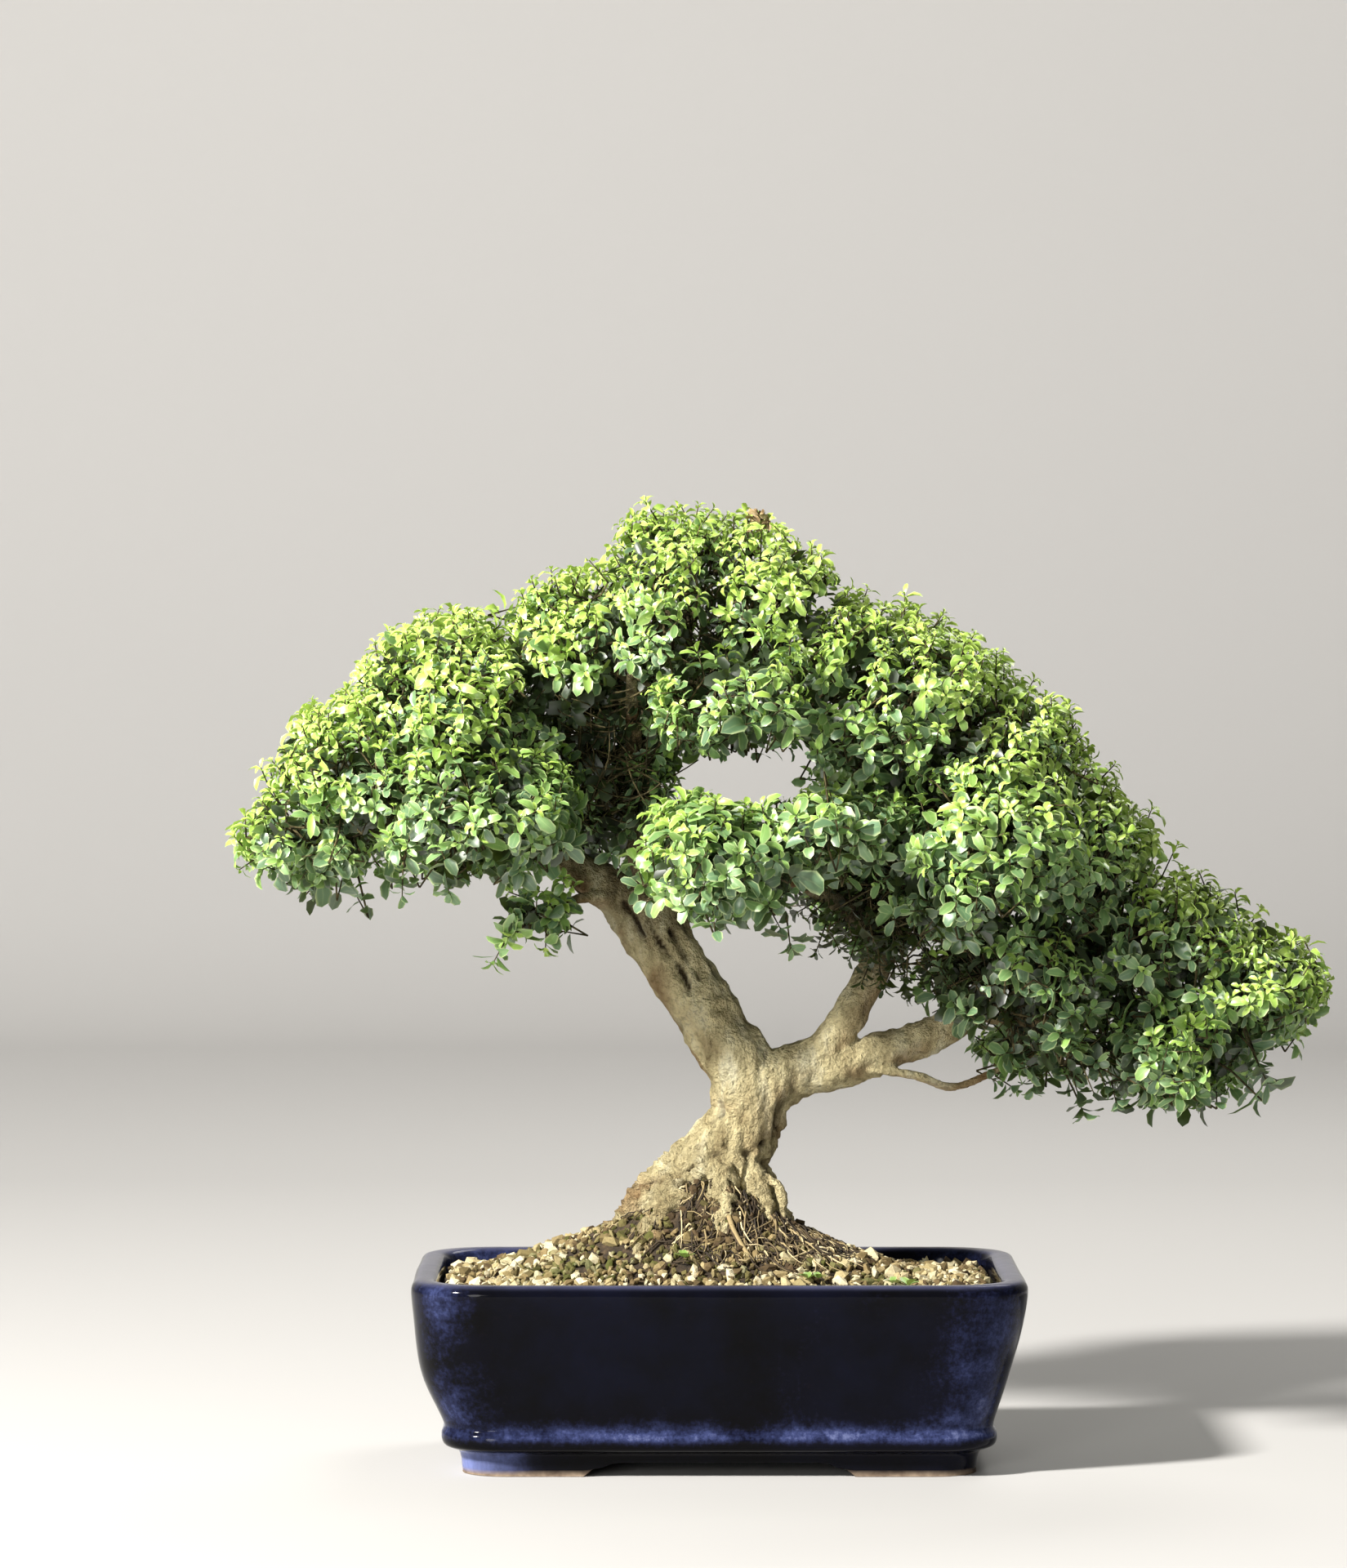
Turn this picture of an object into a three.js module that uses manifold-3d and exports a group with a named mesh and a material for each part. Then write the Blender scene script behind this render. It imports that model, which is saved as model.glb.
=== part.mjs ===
// A small-leaved boxwood grown as a bonsai, in its glazed pot with four feet.
// Millimetres, +Z up, -Y towards the viewer. Everything is modelled round the pot's centre, on the
// ground, and the whole is then moved so that the origin is at the middle of its footprint.
import * as THREE from "three";
import { mergeVertices } from "three/addons/utils/BufferGeometryUtils.js";
import Module from "manifold-3d";

const wasm = await Module();
wasm.setup();

// Pot
const POT_HALF_X = 98.5;
const POT_HALF_Y = 65;
const POT_CORNER = 23;
const CORNER_STEPS = 4;
// Wall profile from the feet up the outside, over the rim and down to the floor: [inset from the rim, height]
const POT_PROFILE = [
  [16.2, 0],
  [15.4, 6],
  [11.6, 8.4],
  [10.1, 9.8],
  [9.9, 12.6],
  [11, 15.2],
  [7, 28],
  [2.8, 42],
  [0.6, 53],
  [0, 58.6],
  [0.6, 61.2],
  [2.2, 62.4],
  [6.6, 62.4],
  [8.2, 61.4],
  [9, 58.6],
  [9.8, 53],
  [11.8, 42],
  [15.6, 28],
  [19.2, 16],
  [23, 12.5],
];
const POT_FLOOR = 12.5;
const FOOT_HEIGHT = 4.6;
const UNDERSIDE = 5.2;
const UNDERSIDE_INSET = 26;
// Half of the arch between two feet, from the ground up to the pot's belly: [distance, height]
const ARCH = [
  [0, -1],
  [-2, 2.2],
  [-5, 2.8],
  [-8, 4.2],
  [-11, FOOT_HEIGHT],
];
const LONG_ARCH = 43;
const SHORT_ARCH = 24;
const DRAIN_X = 40;
const DRAIN_RADIUS = 7.5;

// Drain screens
const GAP = 0.3;
const SCREEN_SIDE = 27;
const SCREEN_THICK = 1;
const SCREEN_HOLES = 3;
const SCREEN_HOLE = 4.6;
const SCREEN_PITCH = 7.4;

// Soil
const SOIL_EDGE_Z = 57.4;
const SOIL_SIDES = [
  [23.8, 12.9],
  [19.8, 16.2],
  [16.2, 28.1],
  [10.3, 53],
  [9.6, SOIL_EDGE_Z - 0.8],
];
const SOIL_RINGS = 9;
const SOIL_LONG = 7;
const SOIL_SHORT = 5;
const SOIL_GRAIN = 1.1;
const MOUND = { x: -4, y: -6, height: 26, spreadLeft: 40, spreadRight: 35, spreadY: 24 };

// Wood: each limb is a list of [x, y, z, radius] along its middle, from its root to its tip
const TRUNK = [
  [-6, 1, 53, 24],
  [-6, 1, 66, 24],
  [-5, 0, 77, 21],
  [-2.5, 0, 90, 16.6],
  [2.6, 0, 100, 13.4],
  [9.4, 0, 110, 11.2],
  [10, 0, 119, 11.8],
  [12, 0, 128, 10.4],
];
const LEFT_LIMB = [
  [12, 0, 116, 9],
  [8, 0, 126, 10.4],
  [-0.2, 1, 138.5, 10.2],
  [-8, 1, 151.7, 9.9],
  [-14.3, 2, 161, 9.7],
  [-22.5, 2, 173, 9.6],
  [-29.5, 2, 182, 8],
];
const LEFT_WING = [
  [-21, 2, 173, 7],
  [-33, 1, 183, 6.6],
  [-46, 0, 191, 5.8],
  [-64, -2, 203, 4.6],
  [-88, -2, 216, 3.4],
  [-108, -3, 222, 2.2],
];
const CROWN_LIMB = [
  [-14, 2, 165, 6.4],
  [-20, 4, 184, 6],
  [-25, 7, 201, 5.4],
  [-27, 9, 222, 4.8],
  [-23, 7, 246, 3.8],
  [-16, 2, 268, 2.4],
];
const RIGHT_LIMB = [
  [8, 0, 117, 9],
  [17, 0, 122, 9.8],
  [25, 0, 126, 8.8],
  [33, 0, 130, 7.2],
];
const RIGHT_UPPER = [
  [25, 0, 126, 6.8],
  [33, -1, 131, 6.2],
  [40, -2, 140, 5.4],
  [46, -3, 151, 5],
  [53.5, -4, 166, 4.4],
  [57, -5, 184, 3.7],
  [61, -6, 210, 3.1],
  [62, -5, 240, 2],
];
const RIGHT_LOWER = [
  [25, 0, 125, 7.4],
  [42, -1, 128.5, 6.4],
  [58, -2, 134, 5.9],
  [71.6, -3, 139, 5.5],
  [82, -4, 146, 5],
  [98, -5, 156, 4.2],
  [118, -6, 166, 3.4],
  [138, -6, 172, 2.2],
];
const BRANCHES = [
  [[-60, -2, 204, 3.2], [-78, -26, 211, 2.8], [-100, -38, 211, 1.8]],
  [[-60, -2, 204, 3.2], [-78, 24, 213, 2.8], [-102, 32, 213, 1.8]],
  [[-64, -2, 206, 3], [-74, -1, 226, 2.6], [-80, 0, 244, 1.8]],
  [[-25, 7, 201, 3.8], [-37, 36, 213, 3], [-48, 66, 224, 2]],
  [[-20, 4, 184, 3.6], [-5, 38, 186, 3], [6, 66, 189, 2]],
  [[-27, 9, 222, 3.4], [-28, -14, 242, 2.6], [-28, -34, 256, 1.8]],
  [[53, -4, 166, 3.6], [40, -34, 181, 3], [14, -64, 195, 2]],
  [[57, -5, 184, 3.2], [70, -36, 194, 2.8], [80, -60, 194, 1.8]],
  [[56, -4, 180, 3.2], [64, 34, 198, 2.6], [68, 68, 212, 1.8]],
  [[82, -4, 146, 3.4], [98, -12, 144, 2.8], [112, -18, 142, 1.8]],
  [[46, -4, 127.5, 2], [64, -8, 125, 1.7], [76, -10, 121.5, 1.5], [92, -14, 128, 1.4], [106, -17, 137, 1.2]],
  [[-27, 0, 180, 2.6], [-42, -8, 183, 1.9], [-58, -16, 178, 1.4]],
];
const ROOTS = [
  [[-5, -1, 98, 7.5], [-11.5, -2, 91, 8.6], [-18, -3, 84, 8.2], [-28, -4, 73, 7], [-46, -6, 59, 4]],
  [[-8, -6, 92, 8], [-18, -18, 78, 6], [-28, -30, 62, 4]],
  [[0, -10, 95, 5], [0.5, -19, 86, 3.8], [1.5, -23, 79, 3.6], [5, -30, 62, 2.6]],
  [[9, -7, 96, 4.4], [12.5, -14, 87, 3], [14, -17, 80, 3.3], [18, -22, 64, 2.4]],
  [[8, 0, 98, 6], [15, -3, 88, 4], [18.5, -4, 78, 3.8], [30, -6, 62, 2.6]],
  [[2, 4, 95, 8], [10, 20, 80, 6], [18, 34, 62, 3.4]],
  [[-8, 4, 95, 9], [-20, 20, 80, 6.6], [-34, 34, 62, 3.6]],
];
const WOOD_KNOBS = 0.05;

// Foliage: each node is one branch's leaves, made of lobes given as [x, y, z, reach in x, y and z]
const FOLIAGE = {
  foliage_left: [
    [-130, -4, 204, 32, 50, 19],
    [-112, -4, 223, 38, 64, 31],
    [-82, 0, 243, 41, 74, 36],
    [-78, -50, 214, 37, 42, 25],
    [-82, 52, 215, 38, 44, 26],
  ],
  foliage_crown: [
    [-14, 0, 274, 34, 60, 39],
    [12, 0, 273, 35, 60, 36],
    [-44, 4, 257, 35, 54, 37],
    [8, -48, 248, 33, 40, 25],
    [-6, 54, 252, 46, 42, 28],
  ],
  foliage_right: [
    [38, -4, 256, 30, 60, 31],
    [58, -4, 245, 41, 72, 35],
    [86, -2, 223, 39, 74, 36],
    [110, -2, 197, 36, 64, 30],
    [82, -60, 196, 40, 40, 32],
    [68, 64, 210, 46, 40, 30],
    [52, -8, 189, 24, 38, 29],
  ],
  foliage_right_tip: [
    [144, -4, 168, 36, 56, 26],
    [170, -4, 155, 31, 46, 22],
    [146, -2, 137, 32, 50, 26],
    [98, -20, 161, 38, 48, 26],
    [108, -12, 137, 27, 36, 15],
  ],
  foliage_front: [
    [0, -66, 199, 32, 42, 23],
    [34, -64, 202, 30, 42, 21],
  ],
  foliage_centre: [[-42, 14, 222, 28, 48, 30]],
  foliage_back: [[8, 66, 193, 44, 38, 20]],
  foliage_tuft: [[-62, -16, 174, 12, 13, 11]],
};
const LEAF_REACH = 14;
const LEAF_SHARE = 0.52;
const CORE_FACE_AREA = 160;
const CORE_LEAST = 0.92;
const CORE_VARIES = 0.14;
const BALL_FACES = 20;
const FINER_FROM = 0.75;
const ELLIPSOID_POWER = 1.6;
const LINK_SHARE = 0.45;
const LINK_SIDES = 6;
const NODE_MARGIN = 1.6;
const LOBE_MARGIN = 0.5;
const SHRINK = 0.95;
const MAX_TRIES = 60;
const FIRST_LEAF_SEED = 1000;
// A leaf's left edge, right edge and tip: shares of its face's three corners, and height over the face
const LEAF = [
  [[0.8, 0.01, 0.19], 0.62],
  [[0.01, 0.8, 0.19], 0.62],
  [[0.28, 0.28, 0.44], 1],
];
const LEAF_HEIGHTS = [1, 0.8, 0.62, 0.46];
const LEAF_LEAST = 0.75;
const LEAF_VARIES = 0.55;
const LEAF_SWAY = 9;
const UNDERSIDE_FROM = -0.6;
const UNDERSIDE_LEAVES = 0.35;

const materials = {
  glaze: new THREE.MeshStandardMaterial({ color: 0x14172b, roughness: 0.15, metalness: 0 }),
  screen: new THREE.MeshStandardMaterial({ color: 0x1d1f1e, roughness: 0.7, metalness: 0 }),
  soil: new THREE.MeshStandardMaterial({ color: 0x8a7a58, roughness: 0.95, metalness: 0 }),
  bark: new THREE.MeshStandardMaterial({ color: 0xb49f74, roughness: 0.85, metalness: 0 }),
  leaf: new THREE.MeshStandardMaterial({ color: 0x6f9a45, roughness: 0.5, metalness: 0 }),
};

// A repeatable stream of numbers from 0 to 1
function randomStream(seed) {
  let state = seed;
  return () => {
    state = (state + 0x6d2b79f5) | 0;
    let t = Math.imul(state ^ (state >>> 15), 1 | state);
    t = (t + Math.imul(t ^ (t >>> 7), 61 | t)) ^ t;
    return ((t ^ (t >>> 14)) >>> 0) / 4294967296;
  };
}

// Closed geometry to solid, and solid to named mesh
function solidOf(geometry) {
  const bare = geometry.clone();
  bare.deleteAttribute("normal");
  bare.deleteAttribute("uv");
  const merged = mergeVertices(bare, 1e-4);
  const vertProperties = merged.attributes.position.array;
  const triVerts = new Uint32Array(merged.index.array);
  return new wasm.Manifold(new wasm.Mesh({ numProp: 3, vertProperties, triVerts }));
}

function solidOfFaces(points, faces) {
  const geometry = new THREE.BufferGeometry().setFromPoints(points);
  geometry.setIndex(faces.flat());
  return solidOf(geometry);
}

function meshOf(solid, name, material) {
  const data = solid.getMesh();
  const geometry = new THREE.BufferGeometry();
  geometry.setAttribute("position", new THREE.BufferAttribute(data.vertProperties, data.numProp));
  geometry.setIndex(new THREE.BufferAttribute(data.triVerts, 1));
  geometry.computeVertexNormals();
  const mesh = new THREE.Mesh(geometry, material);
  mesh.name = name;
  return mesh;
}

// Skin over rings of as many points each, closed by a fan at each end
function loft(rings, start, end) {
  const count = rings[0].length;
  const points = [start, ...rings.flat(), end];
  const last = points.length - 1;
  const at = (ring, i) => 1 + ring * count + (i % count);
  const faces = [];
  for (let i = 0; i < count; i++) {
    faces.push([0, at(0, i + 1), at(0, i)]);
    faces.push([last, at(rings.length - 1, i), at(rings.length - 1, i + 1)]);
    for (let r = 0; r + 1 < rings.length; r++) {
      faces.push([at(r, i), at(r, i + 1), at(r + 1, i)]);
      faces.push([at(r, i + 1), at(r + 1, i + 1), at(r + 1, i)]);
    }
  }
  return solidOfFaces(points, faces);
}

// The pot's plan, set in from the rim: a rectangle with round corners and evenly divided sides
function planRing(inset, z, longSteps = 1, shortSteps = 1) {
  const halfX = POT_HALF_X - inset;
  const halfY = POT_HALF_Y - inset;
  const corner = Math.min(halfX, halfY, Math.max(2, POT_CORNER - inset * 0.55));
  const points = [];
  for (let side = 0; side < 4; side++) {
    const signX = side === 0 || side === 3 ? 1 : -1;
    const signY = side < 2 ? 1 : -1;
    const centre = new THREE.Vector2(signX * (halfX - corner), signY * (halfY - corner));
    for (let i = 0; i <= CORNER_STEPS; i++) {
      const angle = (side + i / CORNER_STEPS) * (Math.PI / 2);
      const x = centre.x + corner * Math.cos(angle);
      const y = centre.y + corner * Math.sin(angle);
      points.push(new THREE.Vector3(x, y, z));
    }
    const from = points[points.length - 1];
    const alongX = side % 2 === 0;
    const steps = alongX ? longSteps : shortSteps;
    const span = alongX ? -2 * signX * (halfX - corner) : -2 * signY * (halfY - corner);
    for (let i = 1; i < steps; i++) {
      const step = (span * i) / steps;
      points.push(new THREE.Vector3(from.x + (alongX ? step : 0), from.y + (alongX ? 0 : step), z));
    }
  }
  return points;
}

// A prism through the pot's foot ring, with the arch's outline, along X or along Y
function archCutter(halfLength, alongX) {
  const side = ARCH.map(([step, z]) => new THREE.Vector2(halfLength + step, z));
  const mirror = side.map((p) => new THREE.Vector2(-p.x, p.y)).reverse();
  const depth = 3 * POT_HALF_X;
  const shape = new THREE.Shape([...side, ...mirror]);
  const geometry = new THREE.ExtrudeGeometry(shape, { depth, bevelEnabled: false });
  geometry.translate(0, 0, -depth / 2);
  geometry.rotateX(Math.PI / 2);
  if (alongX) geometry.rotateZ(Math.PI / 2);
  return solidOf(geometry);
}

function drainCutter(x) {
  const geometry = new THREE.CylinderGeometry(DRAIN_RADIUS, DRAIN_RADIUS, 4 * POT_FLOOR, 16);
  geometry.rotateX(Math.PI / 2);
  geometry.translate(x, 0, POT_FLOOR);
  return solidOf(geometry);
}

function makePot() {
  const rings = POT_PROFILE.map(([inset, z]) => planRing(inset, z));
  const ground = new THREE.Vector3(0, 0, 0);
  const floor = new THREE.Vector3(0, 0, POT_FLOOR);
  const recess = [-1, UNDERSIDE].map((z) => planRing(UNDERSIDE_INSET, z));
  const hollow = loft(recess, new THREE.Vector3(0, 0, -1), new THREE.Vector3(0, 0, UNDERSIDE));
  return loft(rings, ground, floor)
    .subtract(hollow)
    .subtract(archCutter(LONG_ARCH, false))
    .subtract(archCutter(SHORT_ARCH, true))
    .subtract(drainCutter(-DRAIN_X))
    .subtract(drainCutter(DRAIN_X));
}

function makeScreen(x) {
  const middleZ = POT_FLOOR + GAP + SCREEN_THICK / 2;
  const plate = new THREE.BoxGeometry(SCREEN_SIDE, SCREEN_SIDE, SCREEN_THICK);
  let screen = solidOf(plate.translate(x, 0, middleZ));
  for (let row = 0; row < SCREEN_HOLES; row++) {
    for (let column = 0; column < SCREEN_HOLES; column++) {
      const u = (column - (SCREEN_HOLES - 1) / 2) * SCREEN_PITCH;
      const v = (row - (SCREEN_HOLES - 1) / 2) * SCREEN_PITCH;
      const hole = new THREE.BoxGeometry(SCREEN_HOLE, SCREEN_HOLE, 3 * SCREEN_THICK);
      screen = screen.subtract(solidOf(hole.translate(x + u, v, middleZ)));
    }
  }
  return screen;
}

// The soil's height: level by the rim and heaped up to the trunk
function soilHeight(x, y) {
  const u = (x - MOUND.x) / (x < MOUND.x ? MOUND.spreadLeft : MOUND.spreadRight);
  const v = (y - MOUND.y) / MOUND.spreadY;
  return SOIL_EDGE_Z + MOUND.height * Math.exp(-(u * u + v * v) / 2);
}

function makeSoil() {
  const random = randomStream(11);
  const rings = SOIL_SIDES.map(([inset, z]) => planRing(inset, z, SOIL_LONG, SOIL_SHORT));
  const edge = SOIL_SIDES[SOIL_SIDES.length - 1][0] + 1;
  for (let r = 0; r < SOIL_RINGS; r++) {
    const share = 1 - r / SOIL_RINGS;
    const ring = planRing(edge, 0, SOIL_LONG, SOIL_SHORT).map((p) => {
      const x = p.x * share;
      const y = p.y * share;
      return new THREE.Vector3(x, y, soilHeight(x, y) + (random() - 0.5) * 2 * SOIL_GRAIN);
    });
    rings.push(ring);
  }
  const bottom = new THREE.Vector3(0, 0, SOIL_SIDES[0][1]);
  const top = new THREE.Vector3(0, 0, soilHeight(0, 0));
  const pockets = [-DRAIN_X, DRAIN_X].map((x) => {
    const side = SCREEN_SIDE + 2 * GAP;
    const deep = SCREEN_THICK + 2 * GAP;
    const pocket = new THREE.BoxGeometry(side, side, 2 * deep);
    return solidOf(pocket.translate(x, 0, POT_FLOOR + GAP));
  });
  return pockets.reduce((soil, pocket) => soil.subtract(pocket), loft(rings, bottom, top));
}

// A knobbly round tube through points with a radius each, grown all over by extra
function makeLimb(limb, sides, steps, seed, extra) {
  const random = randomStream(seed);
  const curve = new THREE.CatmullRomCurve3(limb.map(([x, y, z]) => new THREE.Vector3(x, y, z)));
  const phase = random() * Math.PI * 2;
  const rings = [];
  const normal = new THREE.Vector3(0, -1, 0);
  for (let i = 0; i <= steps; i++) {
    const t = i / steps;
    const tangent = curve.getTangent(t);
    const middle = curve.getPoint(t).addScaledVector(tangent, extra * Math.sign(2 * i - steps));
    normal.addScaledVector(tangent, -normal.dot(tangent)).normalize();
    const side = new THREE.Vector3().crossVectors(tangent, normal);
    const place = t * (limb.length - 1);
    const before = Math.min(limb.length - 2, Math.floor(place));
    const radius = THREE.MathUtils.lerp(limb[before][3], limb[before + 1][3], place - before);
    const ring = [];
    for (let j = 0; j < sides; j++) {
      const angle = (j / sides) * Math.PI * 2;
      const knob = Math.sin(3 * angle + phase + 2.4 * i) + 0.7 * (random() - 0.5);
      const reach = radius * (1 + WOOD_KNOBS * knob) + extra;
      const point = middle.clone().addScaledVector(normal, reach * Math.cos(angle));
      ring.push(point.addScaledVector(side, reach * Math.sin(angle)));
    }
    rings.push(ring);
  }
  const blunt = limb[limb.length - 1][3] * 0.6;
  const start = curve.getPoint(0).addScaledVector(curve.getTangent(0), -extra);
  const end = curve.getPoint(1).addScaledVector(curve.getTangent(1), blunt + extra);
  return loft(rings, start, end);
}

function makeWood(extra) {
  const thick = [
    [TRUNK, 12, 8],
    [LEFT_LIMB, 9, 7],
    [LEFT_WING, 6, 5],
    [CROWN_LIMB, 6, 5],
    [RIGHT_LIMB, 9, 3],
    [RIGHT_UPPER, 6, 7],
    [RIGHT_LOWER, 7, 8],
  ];
  const thin = BRANCHES.map((branch) => [branch, 4, branch.length - 1]);
  const roots = ROOTS.map((root) => [root, 6, root.length]);
  const limbs = [...thick, ...roots, ...thin].map(([limb, sides, steps], i) =>
    makeLimb(limb, sides, steps, 100 + i, extra),
  );
  return limbs.reduce((wood, limb) => wood.add(limb));
}

// Lobes of foliage, with the smaller core that their leaves stand out of
const lobes = [];
for (const [node, list] of Object.entries(FOLIAGE)) {
  for (const [x, y, z, ...reach] of list) {
    const leaf = Math.min(LEAF_REACH, LEAF_SHARE * Math.min(...reach));
    lobes.push({
      node,
      leaf,
      seed: FIRST_LEAF_SEED + lobes.length,
      centre: new THREE.Vector3(x, y, z),
      reach: new THREE.Vector3(...reach),
      core: new THREE.Vector3(...reach).subScalar(leaf),
    });
  }
}

// How far a point lies outside a lobe, along the line to its centre
function outside(point, lobe, size) {
  const offset = point.clone().sub(lobe.centre);
  return offset.length() * (1 - 1 / Math.max(1e-6, offset.clone().divide(size).length()));
}

// Whether a point lies in a lobe's own share of the space, clear of every other lobe's
function isOwn(point, lobe, withSiblings) {
  const own = outside(point, lobe, lobe.reach);
  return lobes.every((other) => {
    if (other === lobe) return true;
    if (other.node !== lobe.node) return own + NODE_MARGIN < outside(point, other, other.reach);
    return !withSiblings || own + LOBE_MARGIN < outside(point, other, other.reach);
  });
}

// The area of an ellipsoid, nearly, from its half axes
function ellipsoidArea({ x, y, z }) {
  const products = [x * y, x * z, y * z].map((product) => product ** ELLIPSOID_POWER);
  const mean = products.reduce((sum, value) => sum + value) / products.length;
  return 4 * Math.PI * mean ** (1 / ELLIPSOID_POWER);
}

// One lobe: a faceted core, most of whose faces are drawn out into a leaf
function makeLobe(lobe) {
  const random = randomStream(lobe.seed);
  const faceCount = ellipsoidArea(lobe.core) / CORE_FACE_AREA;
  const detail = Math.max(0, Math.round(Math.sqrt(faceCount / BALL_FACES) - FINER_FROM));
  const ball = new THREE.IcosahedronGeometry(1, detail);
  ball.deleteAttribute("normal");
  ball.deleteAttribute("uv");
  const turn = new THREE.Euler(...[0, 0, 0].map(() => random() * 2 * Math.PI));
  const base = mergeVertices(ball, 1e-4);
  const corners = base.attributes.position;
  const points = [];
  for (let i = 0; i < corners.count; i++) {
    const way = new THREE.Vector3().fromBufferAttribute(corners, i).applyEuler(turn);
    way.multiply(lobe.core).multiplyScalar(CORE_LEAST + CORE_VARIES * random());
    const point = way.clone().add(lobe.centre);
    for (let tries = 0; tries < MAX_TRIES && !isOwn(point, lobe, false); tries++) {
      way.multiplyScalar(SHRINK);
      point.copy(lobe.centre).add(way);
    }
    points.push(point);
  }
  const faces = [];
  for (let i = 0; i < base.index.count; i += 3) {
    const face = [0, 1, 2].map((k) => base.index.array[i + k]);
    faces.push(...growLeaf(lobe, points, face, random));
  }
  return solidOfFaces(points, faces);
}

// A point over a face: shares of its corners, each pushed out from the lobe's centre by height
function overFace(lobe, corners, shares, height) {
  const point = new THREE.Vector3();
  corners.forEach((corner, k) => {
    const way = corner.clone().sub(lobe.centre);
    point.addScaledVector(way.setLength(way.length() + height), shares[k]);
  });
  return point.add(lobe.centre);
}

// The faces that draw one face out into a leaf, or the face itself where no leaf has room
function growLeaf(lobe, points, face, random) {
  const low = face.map((k) => points[k].z + LEAF_SWAY * random());
  const first = (low.indexOf(Math.min(...low)) + 1) % 3;
  const [l, r, k] = [face[first], face[(first + 1) % 3], face[(first + 2) % 3]];
  const corners = [points[l], points[r], points[k]];
  const middle = overFace(lobe, corners, [1 / 3, 1 / 3, 1 / 3], 0);
  const buried = lobes.some((s) => s !== lobe && s.node === lobe.node && outside(middle, s, s.core) < 0);
  const facesDown = (middle.z - lobe.centre.z) / lobe.core.z < UNDERSIDE_FROM;
  const full = lobe.leaf * (LEAF_LEAST + LEAF_VARIES * random());
  if (buried || (facesDown && random() > UNDERSIDE_LEAVES)) return [face];
  for (const share of LEAF_HEIGHTS) {
    const drawn = LEAF.map(([shares, height]) => overFace(lobe, corners, shares, full * share * height));
    if (!drawn.every((point) => isOwn(point, lobe, true))) continue;
    const [left, right, tip] = [0, 1, 2].map((i) => points.length + i);
    points.push(...drawn);
    return [
      [l, r, right],
      [l, right, left],
      [left, right, tip],
      [k, l, left],
      [k, left, tip],
      [k, tip, right],
      [k, right, r],
    ];
  }
  return [face];
}

// The twigs and inner leaves between a lobe and the nearest of those before it, as one thick stem
function makeLink(lobe, earlier) {
  const far = (other) => other.centre.distanceTo(lobe.centre);
  const nearest = earlier.reduce((best, other) => (far(other) < far(best) ? other : best));
  const ends = [lobe, nearest].map(({ centre, reach }) => {
    return [...centre.toArray(), LINK_SHARE * Math.min(...reach.toArray())];
  });
  return makeLimb(ends, LINK_SIDES, 1, lobe.seed, 0);
}

function makeFoliage(node, fatWood) {
  const own = lobes.filter((lobe) => lobe.node === node);
  const links = own.slice(1).map((lobe, i) => makeLink(lobe, own.slice(0, i + 1)));
  const whole = [...own.map(makeLobe), ...links].reduce((sum, piece) => sum.add(piece));
  const pieces = whole.subtract(fatWood).decompose();
  return pieces.reduce((best, piece) => (piece.volume() > best.volume() ? piece : best));
}

const group = new THREE.Group();
const wood = makeWood(0);
const fatWood = makeWood(GAP);
group.add(meshOf(makePot(), "pot", materials.glaze));
group.add(meshOf(makeScreen(-DRAIN_X), "drain_screen_left", materials.screen));
group.add(meshOf(makeScreen(DRAIN_X), "drain_screen_right", materials.screen));
group.add(meshOf(makeSoil().subtract(fatWood), "soil", materials.soil));
group.add(meshOf(wood, "trunk", materials.bark));
for (const node of Object.keys(FOLIAGE)) {
  group.add(meshOf(makeFoliage(node, fatWood), node, materials.leaf));
}

// The origin at the middle of the whole footprint, on the ground
const middle = new THREE.Box3().setFromObject(group).getCenter(new THREE.Vector3());
group.position.set(-middle.x, -middle.y, 0);

export default group;
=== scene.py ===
# A small-leaved boxwood grown as a bonsai, in its glazed pot with four feet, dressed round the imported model.
# Sizes are millimetres round the pot's centre on the ground, +X right, +Y away from the viewer, +Z up.
# They become the row frame's metres when a piece is made.
import itertools
import math

import bmesh
import bpy
import numpy as np
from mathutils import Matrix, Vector


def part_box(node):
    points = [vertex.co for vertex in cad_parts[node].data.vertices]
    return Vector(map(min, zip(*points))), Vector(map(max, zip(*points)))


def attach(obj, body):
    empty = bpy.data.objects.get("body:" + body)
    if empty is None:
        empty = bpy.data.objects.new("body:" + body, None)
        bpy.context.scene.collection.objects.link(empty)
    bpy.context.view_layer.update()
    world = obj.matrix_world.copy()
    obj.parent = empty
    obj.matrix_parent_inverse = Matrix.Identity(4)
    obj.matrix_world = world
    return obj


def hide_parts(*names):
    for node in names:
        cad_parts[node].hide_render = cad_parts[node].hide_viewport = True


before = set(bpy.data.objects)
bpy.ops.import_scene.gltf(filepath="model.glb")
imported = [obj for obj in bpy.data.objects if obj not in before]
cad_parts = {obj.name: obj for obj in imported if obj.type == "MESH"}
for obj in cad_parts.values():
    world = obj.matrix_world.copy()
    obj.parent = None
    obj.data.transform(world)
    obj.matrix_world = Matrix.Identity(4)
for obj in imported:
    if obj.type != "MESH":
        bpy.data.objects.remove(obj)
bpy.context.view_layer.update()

MM = 0.001
POT_BOX = np.array(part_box("pot"))
CENTRE = np.array([*POT_BOX.mean(axis=0)[:2], 0.0])
BODY = "root"

# Camera and light
CAMERA_AT = (-14.7, -2122.0, 283.0)
CAMERA_DOWN = 1.718
CAMERA_LENS = 150.0
SENSOR = 36.0
# Metres
CLIP_NEAR = 0.05
CLIP_FAR = 50.0
FLOOR_HALF = 6500.0
FLOOR_BACK = 1900.0
WALL_RADIUS = 700.0
WALL_TOP = 2600.0
WALL_STEPS = 24
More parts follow.
